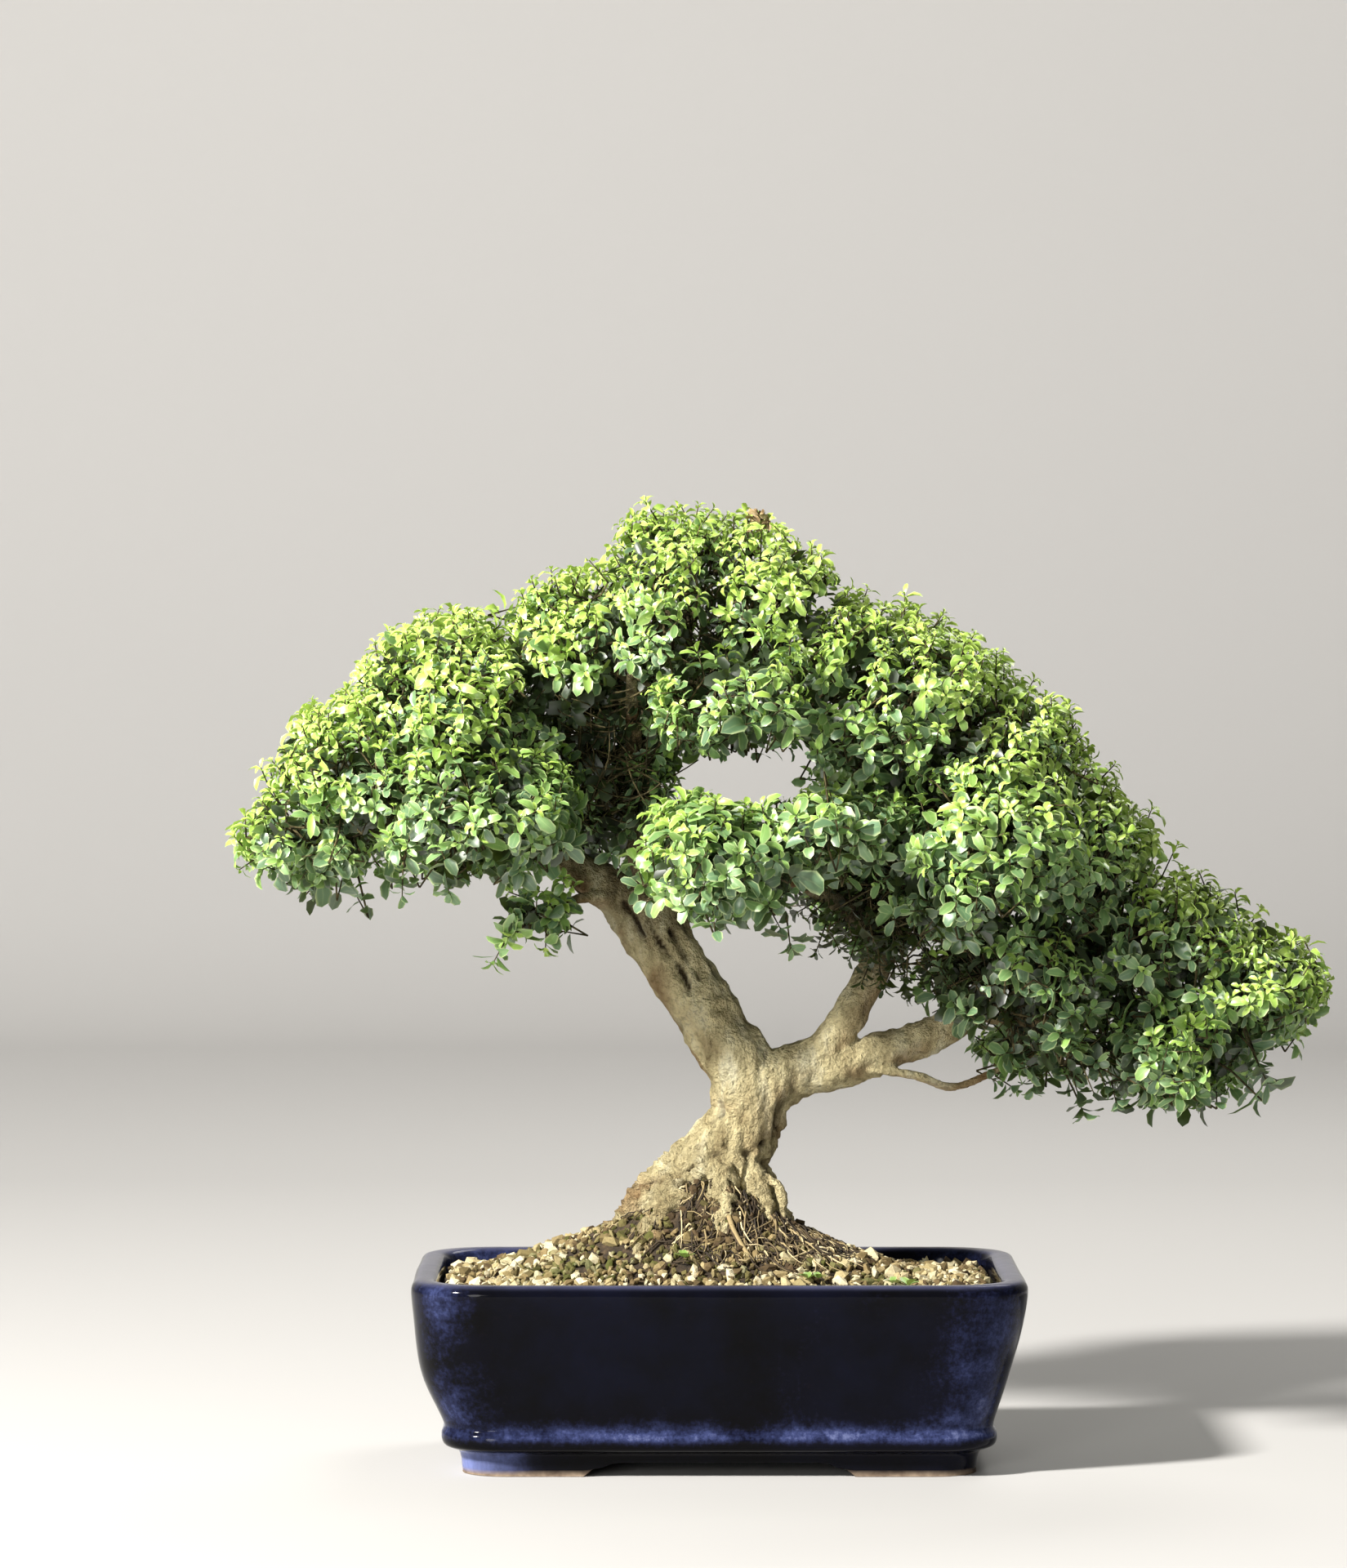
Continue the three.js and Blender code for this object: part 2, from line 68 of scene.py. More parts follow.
# The floor's colour near the viewer and far off, and from where to where it changes: the far floor and the
# wall are painted paler, as painted light on the backdrop
FLOOR_COLOURS = ((188, 187, 185), (220, 219, 217))
FLOOR_CHANGE = (1000.0, 2200.0)
WORLD_COLOUR = (0.82, 0.81, 0.78, 1.0)
WORLD_STRENGTH = 0.14
# Lights: name, place, target, size, power, colour
LIGHTS = [
    ("key", (-1450, -1240, 1330), (0, 0, 170), 260, 140.0, (1.0, 0.97, 0.93)),
    ("fill", (-500, -1750, 330), (0, 0, 150), 500, 10.0, (1.0, 0.99, 0.96)),
    ("back", (500, 1000, 1200), (0, 0, 220), 700, 9.0, (1.0, 0.98, 0.94)),
]

# Pot
POT_HALF = (98.5, 65.0)
POT_CORNER = 23.0
# The wall from the underside's middle, round the foot, up the outside, over the rim and in: inset, height
POT_UNDER = [(45.0, 5.2), (26.6, 5.2), (26.0, 4.8), (26.0, 0.4), (25.4, 0.0), (17.0, 0.0), (16.3, 0.5)]
POT_OUTSIDE = [
    (16.0, 2.2), (15.6, 5.4), (14.6, 7.4), (12.0, 8.4), (10.4, 9.4), (9.7, 11.2), (9.9, 13.4), (10.8, 15.0),
    (10.7, 16.6), (9.4, 21.0), (6.9, 29.0), (4.6, 37.0), (2.4, 45.0), (0.9, 52.0), (0.25, 56.0), (0.0, 58.8),
    (0.3, 60.6), (1.4, 61.9), (3.0, 62.4), (5.6, 62.4), (7.4, 61.9), (8.5, 60.4), (9.1, 57.6), (9.9, 53.0),
    (11.9, 42.0),
]
# Down the inside, under the soil
POT_INSIDE = [(12.6, 38.0), (20.0, 14.0)]
UNDERSIDE_Z = 5.2
FOOT_TOP = 8.0
LEDGE_Z = 13.2
LIP_Z = 62.3
# How far the left end bulges, at which height, and how far up and down from there
LEFT_BULGE = 2.6
BULGE_Z = 32.0
BULGE_SPREAD = 14.0
# The arches between the feet: how far in from an arch's end, and its height there
FOOT_ARCH = [(0.0, 0.0), (1.0, 1.6), (2.4, 2.5), (5.0, 2.8), (6.6, 3.3), (8.0, 4.2), (11.0, 4.6)]
LONG_ARCH = 43.0
SHORT_ARCH = 24.0
# Points along a corner, a long side and a short side of a ring
POT_STEPS = (12, 44, 28)

# Soil
SOIL_EDGE_Z = 57.4
SOIL_INSET = 9.7
SOIL_CORNER = 14.0
SOIL_STEPS = (8, 60, 38)
# The bed's sides in the pot, from below: inset and height
SOIL_SIDES = [(16.2, 28.1), (10.3, 53.0), (SOIL_INSET, SOIL_EDGE_Z - 1.2)]
MOUND = {"x": -4.0, "y": -6.0, "height": 26.0, "spread_left": 40.0, "spread_right": 35.0, "spread_y": 24.0}
# The trunk where it leaves the soil: middle and half sizes in x and y
TRUNK_FOOT = (-6.0, 0.0, 16.0, 14.0)
# The mat of fine roots in front of the trunk
ROOT_MAT = {"x": -2.5, "y": -19.5, "height": 11.5, "spread_x": 21.0, "spread_y": 8.5}
# Patches of moss, and the patch of darker grains in front of the trunk: middle and half sizes in x and y
MOSS = [
    (-50.0, -34.0, 22.0, 12.0), (-64.0, -8.0, 12.0, 12.0), (-28.0, -22.0, 15.0, 7.0),
    (-16.0, -36.0, 16.0, 6.0), (4.0, -44.0, 10.0, 5.0), (30.0, -30.0, 14.0, 6.0), (52.0, -38.0, 12.0, 7.0),
]
DARK_PATCH = (-1.0, -19.0, 27.0, 14.0)
# Loose grains: name, how many, least and greatest size, how far they stay from the wall, share of the moss
GRAINS = [("soil_small_grains", 4300, 0.8, 1.9, 1.6, 1.0), ("soil_large_grains", 1100, 1.7, 3.2, 2.8, 0.35)]
# Grains that grow past this size lie mostly towards the pot's wall
LARGE_GRAIN = 2.0
GRAIN_STRETCH = (1.15, 0.9, 0.6)
FINE_ROOTS = 420
ROOT_RINGS = 6
ROOT_SIDES = 4
# The one bold root on the soil: x, y, height over the bed, radius
BOLD_ROOT = [(3.0, -27.0, 1.6, 0.8), (5.0, -30.0, 1.2, 0.9), (8.0, -34.0, 1.0, 0.75), (11.0, -38.0, 0.4, 0.5)]
SEEDLING_LEAVES = 4
# Seedlings among the grains: x, y, leaf length
SEEDLINGS = [
    (-11.0, -40.0, 5.2), (28.0, -48.0, 4.6), (31.5, -47.0, 4.0), (60.0, -46.0, 5.2), (55.0, -44.0, 4.0),
]

# Wood: each limb has rows of x, y, z and radius along its middle, from its root to its tip
LIMBS = {
    "trunk": [
        (-6, 1, 53, 23), (-6, 1, 66, 23), (-5, 0, 77, 20.4), (-2.5, 0, 90, 16.4), (2.8, 0, 100, 13.2),
        (9.8, 0, 110, 11.2), (10, 0, 119, 12.0), (12, 0, 128, 10.4),
    ],
    "left": [
        (12, 0, 114, 8.8), (8, 0, 126, 10.6), (-0.2, 1, 138.5, 10.4), (-8, 1, 151.7, 10.1),
        (-14.3, 2, 161, 9.9), (-22.5, 2, 173, 9.8), (-29.5, 2, 182, 8),
    ],
    "left_wing": [
        (-19, 2, 170, 7), (-33, 1, 183, 6.6), (-46, 0, 191, 5.8), (-64, -2, 203, 4.6), (-88, -2, 216, 3.4),
        (-112, -3, 222, 2.0), (-132, -4, 216, 1.0),
    ],
    "crown": [
        (-14, 2, 165, 6.4), (-20, 4, 184, 6), (-25, 7, 201, 5.4), (-27, 9, 222, 4.8), (-23, 7, 246, 3.8),
        (-16, 2, 268, 2.2), (-18, 0, 286, 1.0),
    ],
    "right": [(8, 0, 115, 8.4), (17, 0, 122, 9.6), (25, 0, 126, 8.6), (33, 0, 130, 7.2)],
    "right_upper": [
        (25, 0, 125, 6.8), (33, -1, 131, 6.2), (40, -2, 140, 5.5), (46, -3, 151, 5.2), (53.5, -4, 166, 4.6),
        (57, -5, 184, 3.7), (61, -6, 210, 3.1), (62, -5, 240, 1.8), (60, -4, 260, 1.0),
    ],
    "right_lower": [
        (25, 0, 125, 7.4), (42, -1, 128.5, 6.4), (58, -2, 134, 5.9), (71.6, -3, 139, 5.5), (82, -4, 146, 5),
        (98, -5, 156, 4.2), (118, -6, 166, 3.4), (142, -6, 172, 2.0), (166, -5, 166, 1.0),
    ],
}
BRANCHES = [
    [(-60, -2, 204, 3.2), (-78, -26, 211, 2.8), (-100, -38, 211, 1.6)],
    [(-60, -2, 204, 3.2), (-78, 24, 213, 2.8), (-102, 32, 213, 1.6)],
    [(-64, -2, 206, 3.0), (-74, -1, 226, 2.6), (-80, 0, 244, 1.6)],
    [(-25, 7, 201, 3.8), (-37, 36, 213, 3.0), (-48, 66, 224, 1.6)],
    [(-20, 4, 184, 3.6), (-5, 38, 186, 3.0), (6, 66, 189, 1.6)],
    [(-27, 9, 222, 3.4), (-28, -14, 242, 2.6), (-28, -34, 256, 1.6)],
    [(-25, 8, 232, 3.0), (-4, 6, 252, 2.4), (16, 2, 268, 1.4)],
    [(-24, 8, 236, 3.0), (-18, 32, 250, 2.4), (-8, 54, 254, 1.4)],
    [(53, -4, 166, 3.6), (40, -34, 181, 3.0), (14, -64, 195, 1.6)],
    [(57, -5, 184, 3.2), (70, -36, 194, 2.8), (80, -60, 194, 1.6)],
    [(56, -4, 180, 3.2), (64, 34, 198, 2.6), (68, 68, 212, 1.6)],
    [(60, -6, 206, 3.0), (80, -4, 216, 2.4), (104, -2, 220, 1.4)],
    [(82, -4, 146, 3.4), (98, -12, 144, 2.8), (112, -18, 142, 1.6)],
    [(98, -5, 156, 3.2), (116, 6, 150, 2.4), (140, 10, 142, 1.4)],
    [
        (46, -4, 127.5, 2.0), (64, -8, 125, 1.6), (76, -10, 121.5, 1.4), (92, -14, 128, 1.3),
        (108, -17, 134, 1.0),
    ],
    [(-27, 0, 180, 2.6), (-42, -8, 183, 1.8), (-58, -16, 178, 1.1)],
]
ROOTS = [
    [(-5, -1, 98, 7.5), (-11.5, -2, 91, 8.6), (-18, -3, 84, 8.2), (-28, -4, 73, 7), (-46, -6, 59, 4)],
    [(-8, -6, 92, 8), (-18, -18, 78, 6), (-28, -30, 62, 4)],
    [(0, -10, 95, 5), (0.5, -19, 87, 3.8), (1, -23, 82, 4.0), (3, -28, 72, 2.8)],
    [(9, -7, 96, 4.4), (12.5, -14, 88, 2.9), (14, -17, 82, 3.4), (17, -21, 72, 2.4)],
    [(8, 0, 98, 6), (15, -3, 88, 4), (18.5, -4, 78, 3.8), (30, -6, 62, 2.6)],
    [(11, -8, 92, 2.0), (17.5, -13, 91, 1.6), (20.5, -15, 86, 1.5), (21, -16, 78, 1.4)],
    [(2, 4, 95, 8), (10, 20, 80, 6), (18, 34, 62, 3.4)],
    [(-8, 4, 95, 9), (-20, 20, 80, 6.6), (-34, 34, 62, 3.6)],
]
# The grid on which the wood's parts grow together
BARK_VOXEL = 1.02
# Knots and scars on the limbs: x, y, z, radius, how far the lip stands out
SCARS = [(-0.5, -9.6, 147.5, 3.4, 1.1), (36.0, -6.5, 147.0, 2.0, 0.9), (71.0, -8.0, 137.0, 1.8, 0.7)]
# The long fissures up the left limb, darkened by the painted shade in the bark's crevices
FISSURES = [
    [(-23.0, -6.5, 175.0), (-18.0, -8.0, 167.0), (-12.5, -8.8, 159.0), (-9.5, -9.0, 153.0)],
    [(-15.0, -7.0, 172.0), (-10.0, -8.2, 163.0), (-6.0, -8.5, 157.0)],
    [(-30.0, -5.0, 180.0), (-24.0, -7.0, 170.5)],
]

# Foliage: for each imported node, its lobes as x, y, z, reach in x, y and z, leaf size
FOLIAGE = {
    "foliage_left": [
        (-130, -4, 204, 32, 50, 19, 0.98),
        (-112, -4, 223, 38, 64, 31, 0.95),
        (-82, 0, 243, 41, 74, 36, 0.94),
        (-78, -50, 214, 37, 42, 25, 1.05),
        (-82, 52, 215, 38, 44, 26, 1.0),
    ],
    "foliage_crown": [
        (-14, 0, 274, 34, 60, 39, 0.9),
        (12, 0, 273, 35, 60, 36, 0.9),
        (-44, 4, 257, 35, 54, 37, 0.94),
        (8, -48, 248, 33, 40, 25, 1.0),
        (-6, 54, 252, 46, 42, 28, 0.95),
    ],
    "foliage_right": [
        (38, -4, 256, 30, 60, 31, 0.92),
        (58, -4, 245, 41, 72, 35, 0.94),
        (86, -2, 223, 39, 74, 36, 0.96),
        (110, -2, 197, 36, 64, 30, 0.96),
        (82, -54, 198, 39, 37, 31, 1.05),
        (68, 64, 210, 46, 40, 30, 1.0),
        (52, -8, 189, 24, 38, 29, 0.95),
    ],
    "foliage_right_tip": [
        (144, -4, 168, 36, 56, 26, 0.95),
        (170, -4, 155, 31, 46, 22, 1.0),
        (146, -2, 137, 32, 50, 26, 1.1),
        (98, -20, 161, 38, 48, 26, 1.0),
        (108, -12, 137, 27, 36, 15, 1.1),
    ],
    "foliage_front": [
        (0, -66, 199, 32, 39, 23, 1.12),
        (34, -64, 208, 30, 39, 16, 1.12),
    ],
    "foliage_centre": [(-39, 14, 222, 32, 48, 30, 0.9)],
    "foliage_back": [(8, 66, 193, 44, 38, 20, 1.05)],
    "foliage_tuft": [(-63, -18, 181, 8, 8, 5, 1.1), (-54, -16, 178, 6, 7, 6, 1.1)],
}
# Layers of shoots: how deep their tips lie in a lobe, how far apart, leaf pairs, light, least swelling
LAYERS = [
    {"under": 5.0, "apart": 5.7, "pairs": 5, "light": 1.0, "least": -0.56},
    {"under": 12.0, "apart": 8.0, "pairs": 4, "light": 0.32, "least": -9.0},
    {"under": 21.0, "apart": 12.0, "pairs": 3, "light": 0.0, "least": -9.0},
]
# Shoots with less light than this have the simpler leaves
HIDDEN_LIGHT = 0.3
# Leaves painted dark as shade that fill the lobes' insides: how many shoots, and how far from the lobe's
# middle to its skin
INNER_SHOOTS = 900
INNER_SHARE = (0.45, 0.8)
INNER_LEAF = 1.2
SPRIG_STEP = 7.0
# Leaf outlines: how far along, and how wide there. Hidden leaves have the shorter outline.
LEAF_OUTLINE = [(0.2, 0.56), (0.56, 1.0), (0.88, 0.74)]
HIDDEN_OUTLINE = [(0.36, 0.86), (0.84, 0.78)]
# Leaf pairs from a shoot's foot to its tip: how far they stand out, their size, their place along it
PAIR_SPREAD = np.radians([84.0, 74.0, 62.0, 46.0, 28.0])
PAIR_SIZE = np.array([0.92, 1.0, 0.94, 0.78, 0.55])
PAIR_PLACE = np.array([0.3, 0.52, 0.72, 0.88, 0.98])
LEAF_LENGTH = 6.4
LEAF_WIDTH = 3.7
# How far the sprays' swellings stand out
LUMP = 4.7
# How many places are tried for each one that may be kept, by area
TRIES = 2.6
# The open window under the crown, as seen by the viewer: middle in x and z, half width and height
WINDOW = (14.5, 225.0, 17.0, 9.5)
# Shaded hollows in the crown's front, as seen by the viewer: middle in x and z, half width and height, depth
HOLLOWS = [
    (-35, 229, 15, 29, 24), (-52, 246, 10, 9, 4), (-8, 262, 9, 17, 16), (-68, 220, 9, 7, 14),
    (-95, 192, 26, 7, 14), (-115, 205, 6, 6, 8), (41, 185, 22, 16, 28), (58, 172, 17, 18, 5),
    (76, 160, 16, 12, 8), (40, 168, 10, 8, 2), (46, 226, 15, 6, 12), (79, 232, 10, 7, 4), (46, 254, 5, 12, 8),
    (130, 177, 5, 10, 3), (94, 178, 7, 6, 6), (124, 165, 5, 12, 6), (150, 160, 5, 10, 6),
    (96, 140, 15, 9, 22), (131, 152, 9, 8, 12), (122, 130, 18, 9, 12),
]
# The height of the crown's outline along x
CROWN_TOP = [(-165, 205), (-110, 265), (-62, 283), (-22, 310), (32, 300), (108, 248), (150, 198), (205, 156)]
# Single hanging or standing sprigs: node, light, and rows of from x, y, z, to x, y, z, leaf size
SPRIGS = [
    ("foliage_tuft", 1.35, [
        (-50, -12, 183, -68, -16, 185, 1.0), (-60, -15, 181, -66, -18, 172, 1.1),
        (-66, -16, 176, -73, -18, 162, 1.2), (-54, -14, 180, -56, -17, 166, 1.2),
        (-46, -10, 184, -50, -20, 190, 0.9),
    ]),
    ("foliage_right_tip", 0.45, [
        (98, -14, 140, 90, -18, 126, 1.0), (106, -14, 135, 101, -18, 121, 1.1),
        (112, -14, 133, 118, -16, 113, 1.3), (119, -14, 131, 128, -20, 117, 1.2),
        (127, -16, 129, 138, -18, 117, 1.2), (84, -12, 126, 96, -16, 121, 1.0),
        (168, -24, 141, 176, -30, 124, 1.7),
    ]),
    ("foliage_front", 0.5, [(16, -70, 182, 22, -76, 170, 1.2)]),
    ("foliage_right", 0.2, [
        (34, -20, 174, 31, -26, 166, 0.75), (44, -14, 172, 42, -18, 163, 0.75),
        (56, -14, 170, 59, -16, 158, 0.75), (50, -16, 180, 48, -18, 166, 0.9),
        (66, -12, 163, 68, -16, 154, 0.75), (62, -9, 172, 53, -13, 153, 0.9),
        (54, -11, 173, 46, -13, 155, 0.9), (72, -9, 162, 61, -11, 150, 0.9),
        (60, -16, 182, 62, -18, 168, 0.9), (38, -28, 192, 46, -30, 178, 0.9),
        (50, -24, 186, 54, -24, 172, 0.9), (44, -26, 182, 40, -26, 170, 0.9),
        (34, -30, 200, 36, -30, 186, 0.85), (42, -32, 198, 48, -32, 186, 0.85),
        (30, -30, 190, 33, -28, 179, 0.85), (50, -30, 198, 56, -30, 188, 0.85),
        (58, -26, 192, 62, -26, 180, 0.85),
    ]),
    ("foliage_right", 0.05, [
        (30, -44, 196, 28, -48, 178, 0.8), (36, -46, 194, 34, -48, 172, 0.8),
        (42, -44, 196, 42, -46, 172, 0.8), (48, -42, 194, 49, -44, 170, 0.8),
        (54, -38, 192, 56, -40, 168, 0.8), (38, -40, 186, 38, -42, 168, 0.8),
        (46, -34, 180, 48, -34, 164, 0.8), (56, -30, 176, 60, -32, 158, 0.8),
        (64, -24, 172, 70, -24, 157, 0.8), (26, -50, 194, 24, -54, 180, 0.8),
        (60, -34, 186, 62, -34, 170, 0.8), (58, -18, 174, 60, -20, 154, 0.8),
        (66, -16, 170, 70, -18, 152, 0.8), (74, -18, 168, 78, -20, 154, 0.8),
        (50, -20, 172, 52, -22, 156, 0.8),
    ]),
    ("foliage_left", 0.6, [(-98, -40, 193, -101, -46, 185, 1.2), (-86, -42, 193, -86, -48, 186, 1.2)]),
    ("foliage_crown", 1.0, [
        (-20, -8, 299, -24, -10, 311, 0.95), (14, -8, 296, 16, -10, 305, 0.9),
        (27, -8, 288, 30, -10, 297, 0.95), (38, -8, 273, 43, -10, 283, 0.95),
        (-39, -8, 283, -42, -10, 292, 0.9), (-61, -6, 273, -64, -8, 282, 0.95),
    ]),
    ("foliage_left", 1.0, [
        (-80, -6, 266, -81, -8, 275, 0.95), (-103, -8, 258, -106, -10, 267, 0.95),
        (-142, -10, 217, -148, -12, 225, 0.9),
    ]),
    ("foliage_left", 0.9, [(-148, -12, 198, -155, -14, 192, 0.95)]),
    ("foliage_right", 1.0, [
        (57, -8, 272, 60, -10, 281, 0.95), (88, -8, 254, 92, -10, 262, 0.9),
        (122, -8, 216, 128, -10, 226, 0.95),
    ]),
    ("foliage_right_tip", 1.0, [
        (134, -10, 202, 140, -12, 212, 0.95), (142, -10, 192, 148, -12, 200, 0.95),
        (170, -10, 171, 175, -12, 179, 0.9),
    ]),
]
DEAD_TWIGS = 1500
# How many points are compared with all others at a time
BLOCK = 512
# The dried shoot on the crown: middle, and how many leaves it has
DRIED = (13.0, -10.0, 304.5)
DRIED_LEAVES = 24

# Seeds of the random draws
GRAIN_SEED = 5
ROOT_SEED = 6
SEEDLING_SEED = 8
DRIED_SEED = 9
FOLIAGE_SEED = 77

# Sockets of the mix node that carry colours
MIX_FIRST = 6
MIX_SECOND = 7
MIX_RESULT = 2
# Colours along each ramp
# The leaves' ramp: its dark end is painted shade, its top the lime of young shoots
LEAF_RAMP = [
    (0.0, (24, 28, 13)), (0.16, (44, 58, 34)), (0.38, (98, 132, 96)), (0.56, (132, 172, 92)),
    (0.74, (168, 204, 84)), (1.0, (196, 226, 104)),
]
BARK_RAMP = [(0.28, (126, 112, 78)), (0.4, (188, 173, 130)), (0.54, (234, 220, 171)), (0.7, (250, 242, 204))]
# The twigs' own olive brown, darkened further as painted shade for the crown's inside
TWIG_RAMP = [(0.3, (32, 30, 18)), (0.5, (62, 56, 34)), (0.7, (104, 94, 62))]
DRY_LEAF_RAMP = [(0.3, (92, 74, 46)), (0.5, (150, 128, 92)), (0.7, (204, 186, 150))]
GLAZE_RAMP = [
    (0.12, (8, 8, 12)), (0.36, (16, 18, 34)), (0.56, (31, 36, 62)), (0.74, (50, 57, 92)),
    (0.95, (92, 99, 134)),
]
CLAY_RAMP = [(0.3, (92, 78, 66)), (0.7, (142, 126, 108))]
FINE_ROOT_RAMP = [(0.0, (34, 27, 18)), (0.55, (72, 58, 38)), (0.85, (150, 132, 92)), (1.0, (214, 198, 156))]
GRAIN_RAMP = [
    (0.0, (38, 30, 22)), (0.25, (84, 68, 48)), (0.5, (140, 122, 84)), (0.72, (186, 170, 126)),
    (0.95, (224, 214, 180)),
]
SOIL_RAMP = [(0.3, (24, 19, 13)), (0.5, (54, 43, 29)), (0.7, (92, 75, 52))]
SCREEN_RAMP = [(0.3, (20, 22, 21)), (0.7, (36, 38, 36))]
# Materials of one grain: scale, detail, roughness; ramp, surface roughness, shine; bump strength, distance
GRAINED = {
    "twig": (500.0, 4.0, 0.55, TWIG_RAMP, 0.85, 0.2, 0.4, 0.0004),
    "dry_leaf": (420.0, 4.0, 0.55, DRY_LEAF_RAMP, 0.8, 0.2, 0.5, 0.0004),
    "soil_bed": (380.0, 6.0, 0.7, SOIL_RAMP, 0.95, 0.5, 0.9, 0.0012),
    "screen_plastic": (400.0, 4.0, 0.55, SCREEN_RAMP, 0.7, 0.5, 0.3, 0.0003),
}


# Numbers and meshes

def to_frame(points):
    return np.asarray(points, dtype=np.float64) * MM + CENTRE


def unit(vectors):
    return vectors / np.maximum(np.linalg.norm(vectors, axis=-1, keepdims=True), 1e-9)


def smoothstep(low, high, values):
    share = np.clip((values - low) / (high - low), 0.0, 1.0)
    return share * share * (3.0 - 2.0 * share)


# 1 at the middle, falling to nothing past the spread
def bell(values, middle, spread):
    return np.exp(-(((values - middle) / spread) ** 2))


# How far out points lie in an oval of middle and half sizes, widened by the margin: 1 at its edge
def oval_share(across, up, oval, margin=0.0):
    middle_across, middle_up, half_across, half_up = oval
    return np.hypot((across - middle_across) / (half_across + margin), (up - middle_up) / (half_up + margin))


# Smooth random values from -1 to 1 at each point, waving about once in each size
def noise_at(points, size, seed):
    scaled = np.asarray(points, dtype=np.float64) / size + seed * 17.31
    cell = np.floor(scaled).astype(np.int64)
    part = scaled - cell
    part = part * part * (3.0 - 2.0 * part)
    total = np.zeros(len(scaled))
    for corner in itertools.product((0, 1), repeat=3):
        key = cell + np.array(corner)
        mixed = np.bitwise_xor.reduce(key * (73856093, 19349663, 83492791), axis=1) ^ (seed * 40503)
        mixed = (mixed ^ (mixed >> 13)) * 1274126177
        value = ((mixed >> 7) & 0xFFFF) / 32767.5 - 1.0
        weight = np.prod(np.where(np.array(corner) == 1, part, 1.0 - part), axis=1)
        total += value * weight
    return total


# Several pairs of points and faces as one pair
def joined(parts):
    starts = np.cumsum([0] + [len(points) for points, _ in parts[:-1]])
    faces = [faces + start for (_, faces), start in zip(parts, starts)]
    return np.vstack([points for points, _ in parts]), np.vstack(faces)


# The faces of so many copies of one shape, each with so many points
def copied(faces, copies, points_each):
    return (faces[None] + np.arange(copies)[:, None, None] * points_each).reshape(-1, 3)


# A piece of the scene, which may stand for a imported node. Its values go to its material by name.
def make_piece(name, shape, material, slot, node=None, smooth=True, **values):
    points, faces = shape
    points = to_frame(points)
    faces = np.asarray(faces, dtype=np.int32)
    mesh = bpy.data.meshes.new(name)
    mesh.vertices.add(len(points))
    mesh.vertices.foreach_set("co", points.ravel())
    mesh.loops.add(faces.size)
    mesh.loops.foreach_set("vertex_index", faces.ravel())
    mesh.polygons.add(len(faces))
    mesh.polygons.foreach_set("loop_start", np.arange(0, faces.size, faces.shape[1], dtype=np.int32))
    mesh.update(calc_edges=True)
    mesh.validate()
    mesh.polygons.foreach_set("use_smooth", np.full(len(mesh.polygons), smooth))
    mesh.materials.append(material)
    for key, numbers in values.items():
        layer = mesh.attributes.new(key, "FLOAT", "POINT")
        layer.data.foreach_set("value", np.asarray(numbers, dtype=np.float32))
    piece = bpy.data.objects.new(name, mesh)
    bpy.context.scene.collection.objects.link(piece)
    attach(piece, BODY)
    if node:
        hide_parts(node)
    return piece


# Points along a smooth line through rows of numbers
def smooth_rows(rows, count):
    rows = np.asarray(rows, dtype=np.float64)
    padded = np.vstack([2 * rows[0] - rows[1], rows, 2 * rows[-1] - rows[-2]])
    place = np.linspace(0, len(rows) - 1, count)
    before = np.minimum(place.astype(int), len(rows) - 2)
    t = (place - before)[:, None]
    p0, p1, p2, p3 = (padded[before + k] for k in range(4))
    return 0.5 * (
        2 * p1 + (p2 - p0) * t + (2 * p0 - 5 * p1 + 4 * p2 - p3) * t**2 + (3 * p1 - p0 - 3 * p2 + p3) * t**3
    )


# Closed round tubes, one for each row of paths: paths is (tubes, rings, 3), radii is (tubes, rings)
def tubes(paths, radii, sides):
    count, rings, _ = paths.shape
    along = unit(np.gradient(paths, axis=1))
    aside = unit(np.cross(along, np.array([0.31, 0.77, 0.56])))
    over = np.cross(along, aside)
    angle = np.arange(sides) * 2 * math.pi / sides
    wide = radii[:, :, None, None]
    out = wide * np.cos(angle)[:, None] * aside[:, :, None, :]
    points = (paths[:, :, None, :] + out + wide * np.sin(angle)[:, None] * over[:, :, None, :]).reshape(-1, 3)
    step = np.arange(rings - 1)[:, None] * sides
    near = np.arange(sides)[None, :]
    far = (near + 1) % sides
    first = np.stack([step + near, step + far, step + sides + far], axis=-1)
    second = np.stack([step + near, step + sides + far, step + sides + near], axis=-1)
    body = np.concatenate([first, second]).reshape(-1, 3)
    ends = [[0, k + 1, k] for k in range(1, sides - 1)]
    last = (rings - 1) * sides
    ends += [[last, last + k, last + k + 1] for k in range(1, sides - 1)]
    one = np.vstack([body, np.array(ends, dtype=int)])
    return points, copied(one, count, rings * sides)


# Materials

def linear(red, green, blue):
    shares = [c / 255 for c in (red, green, blue)]
    return (*(((c + 0.055) / 1.055) ** 2.4 if c > 10 / 255 else c / 12.92 for c in shares), 1.0)


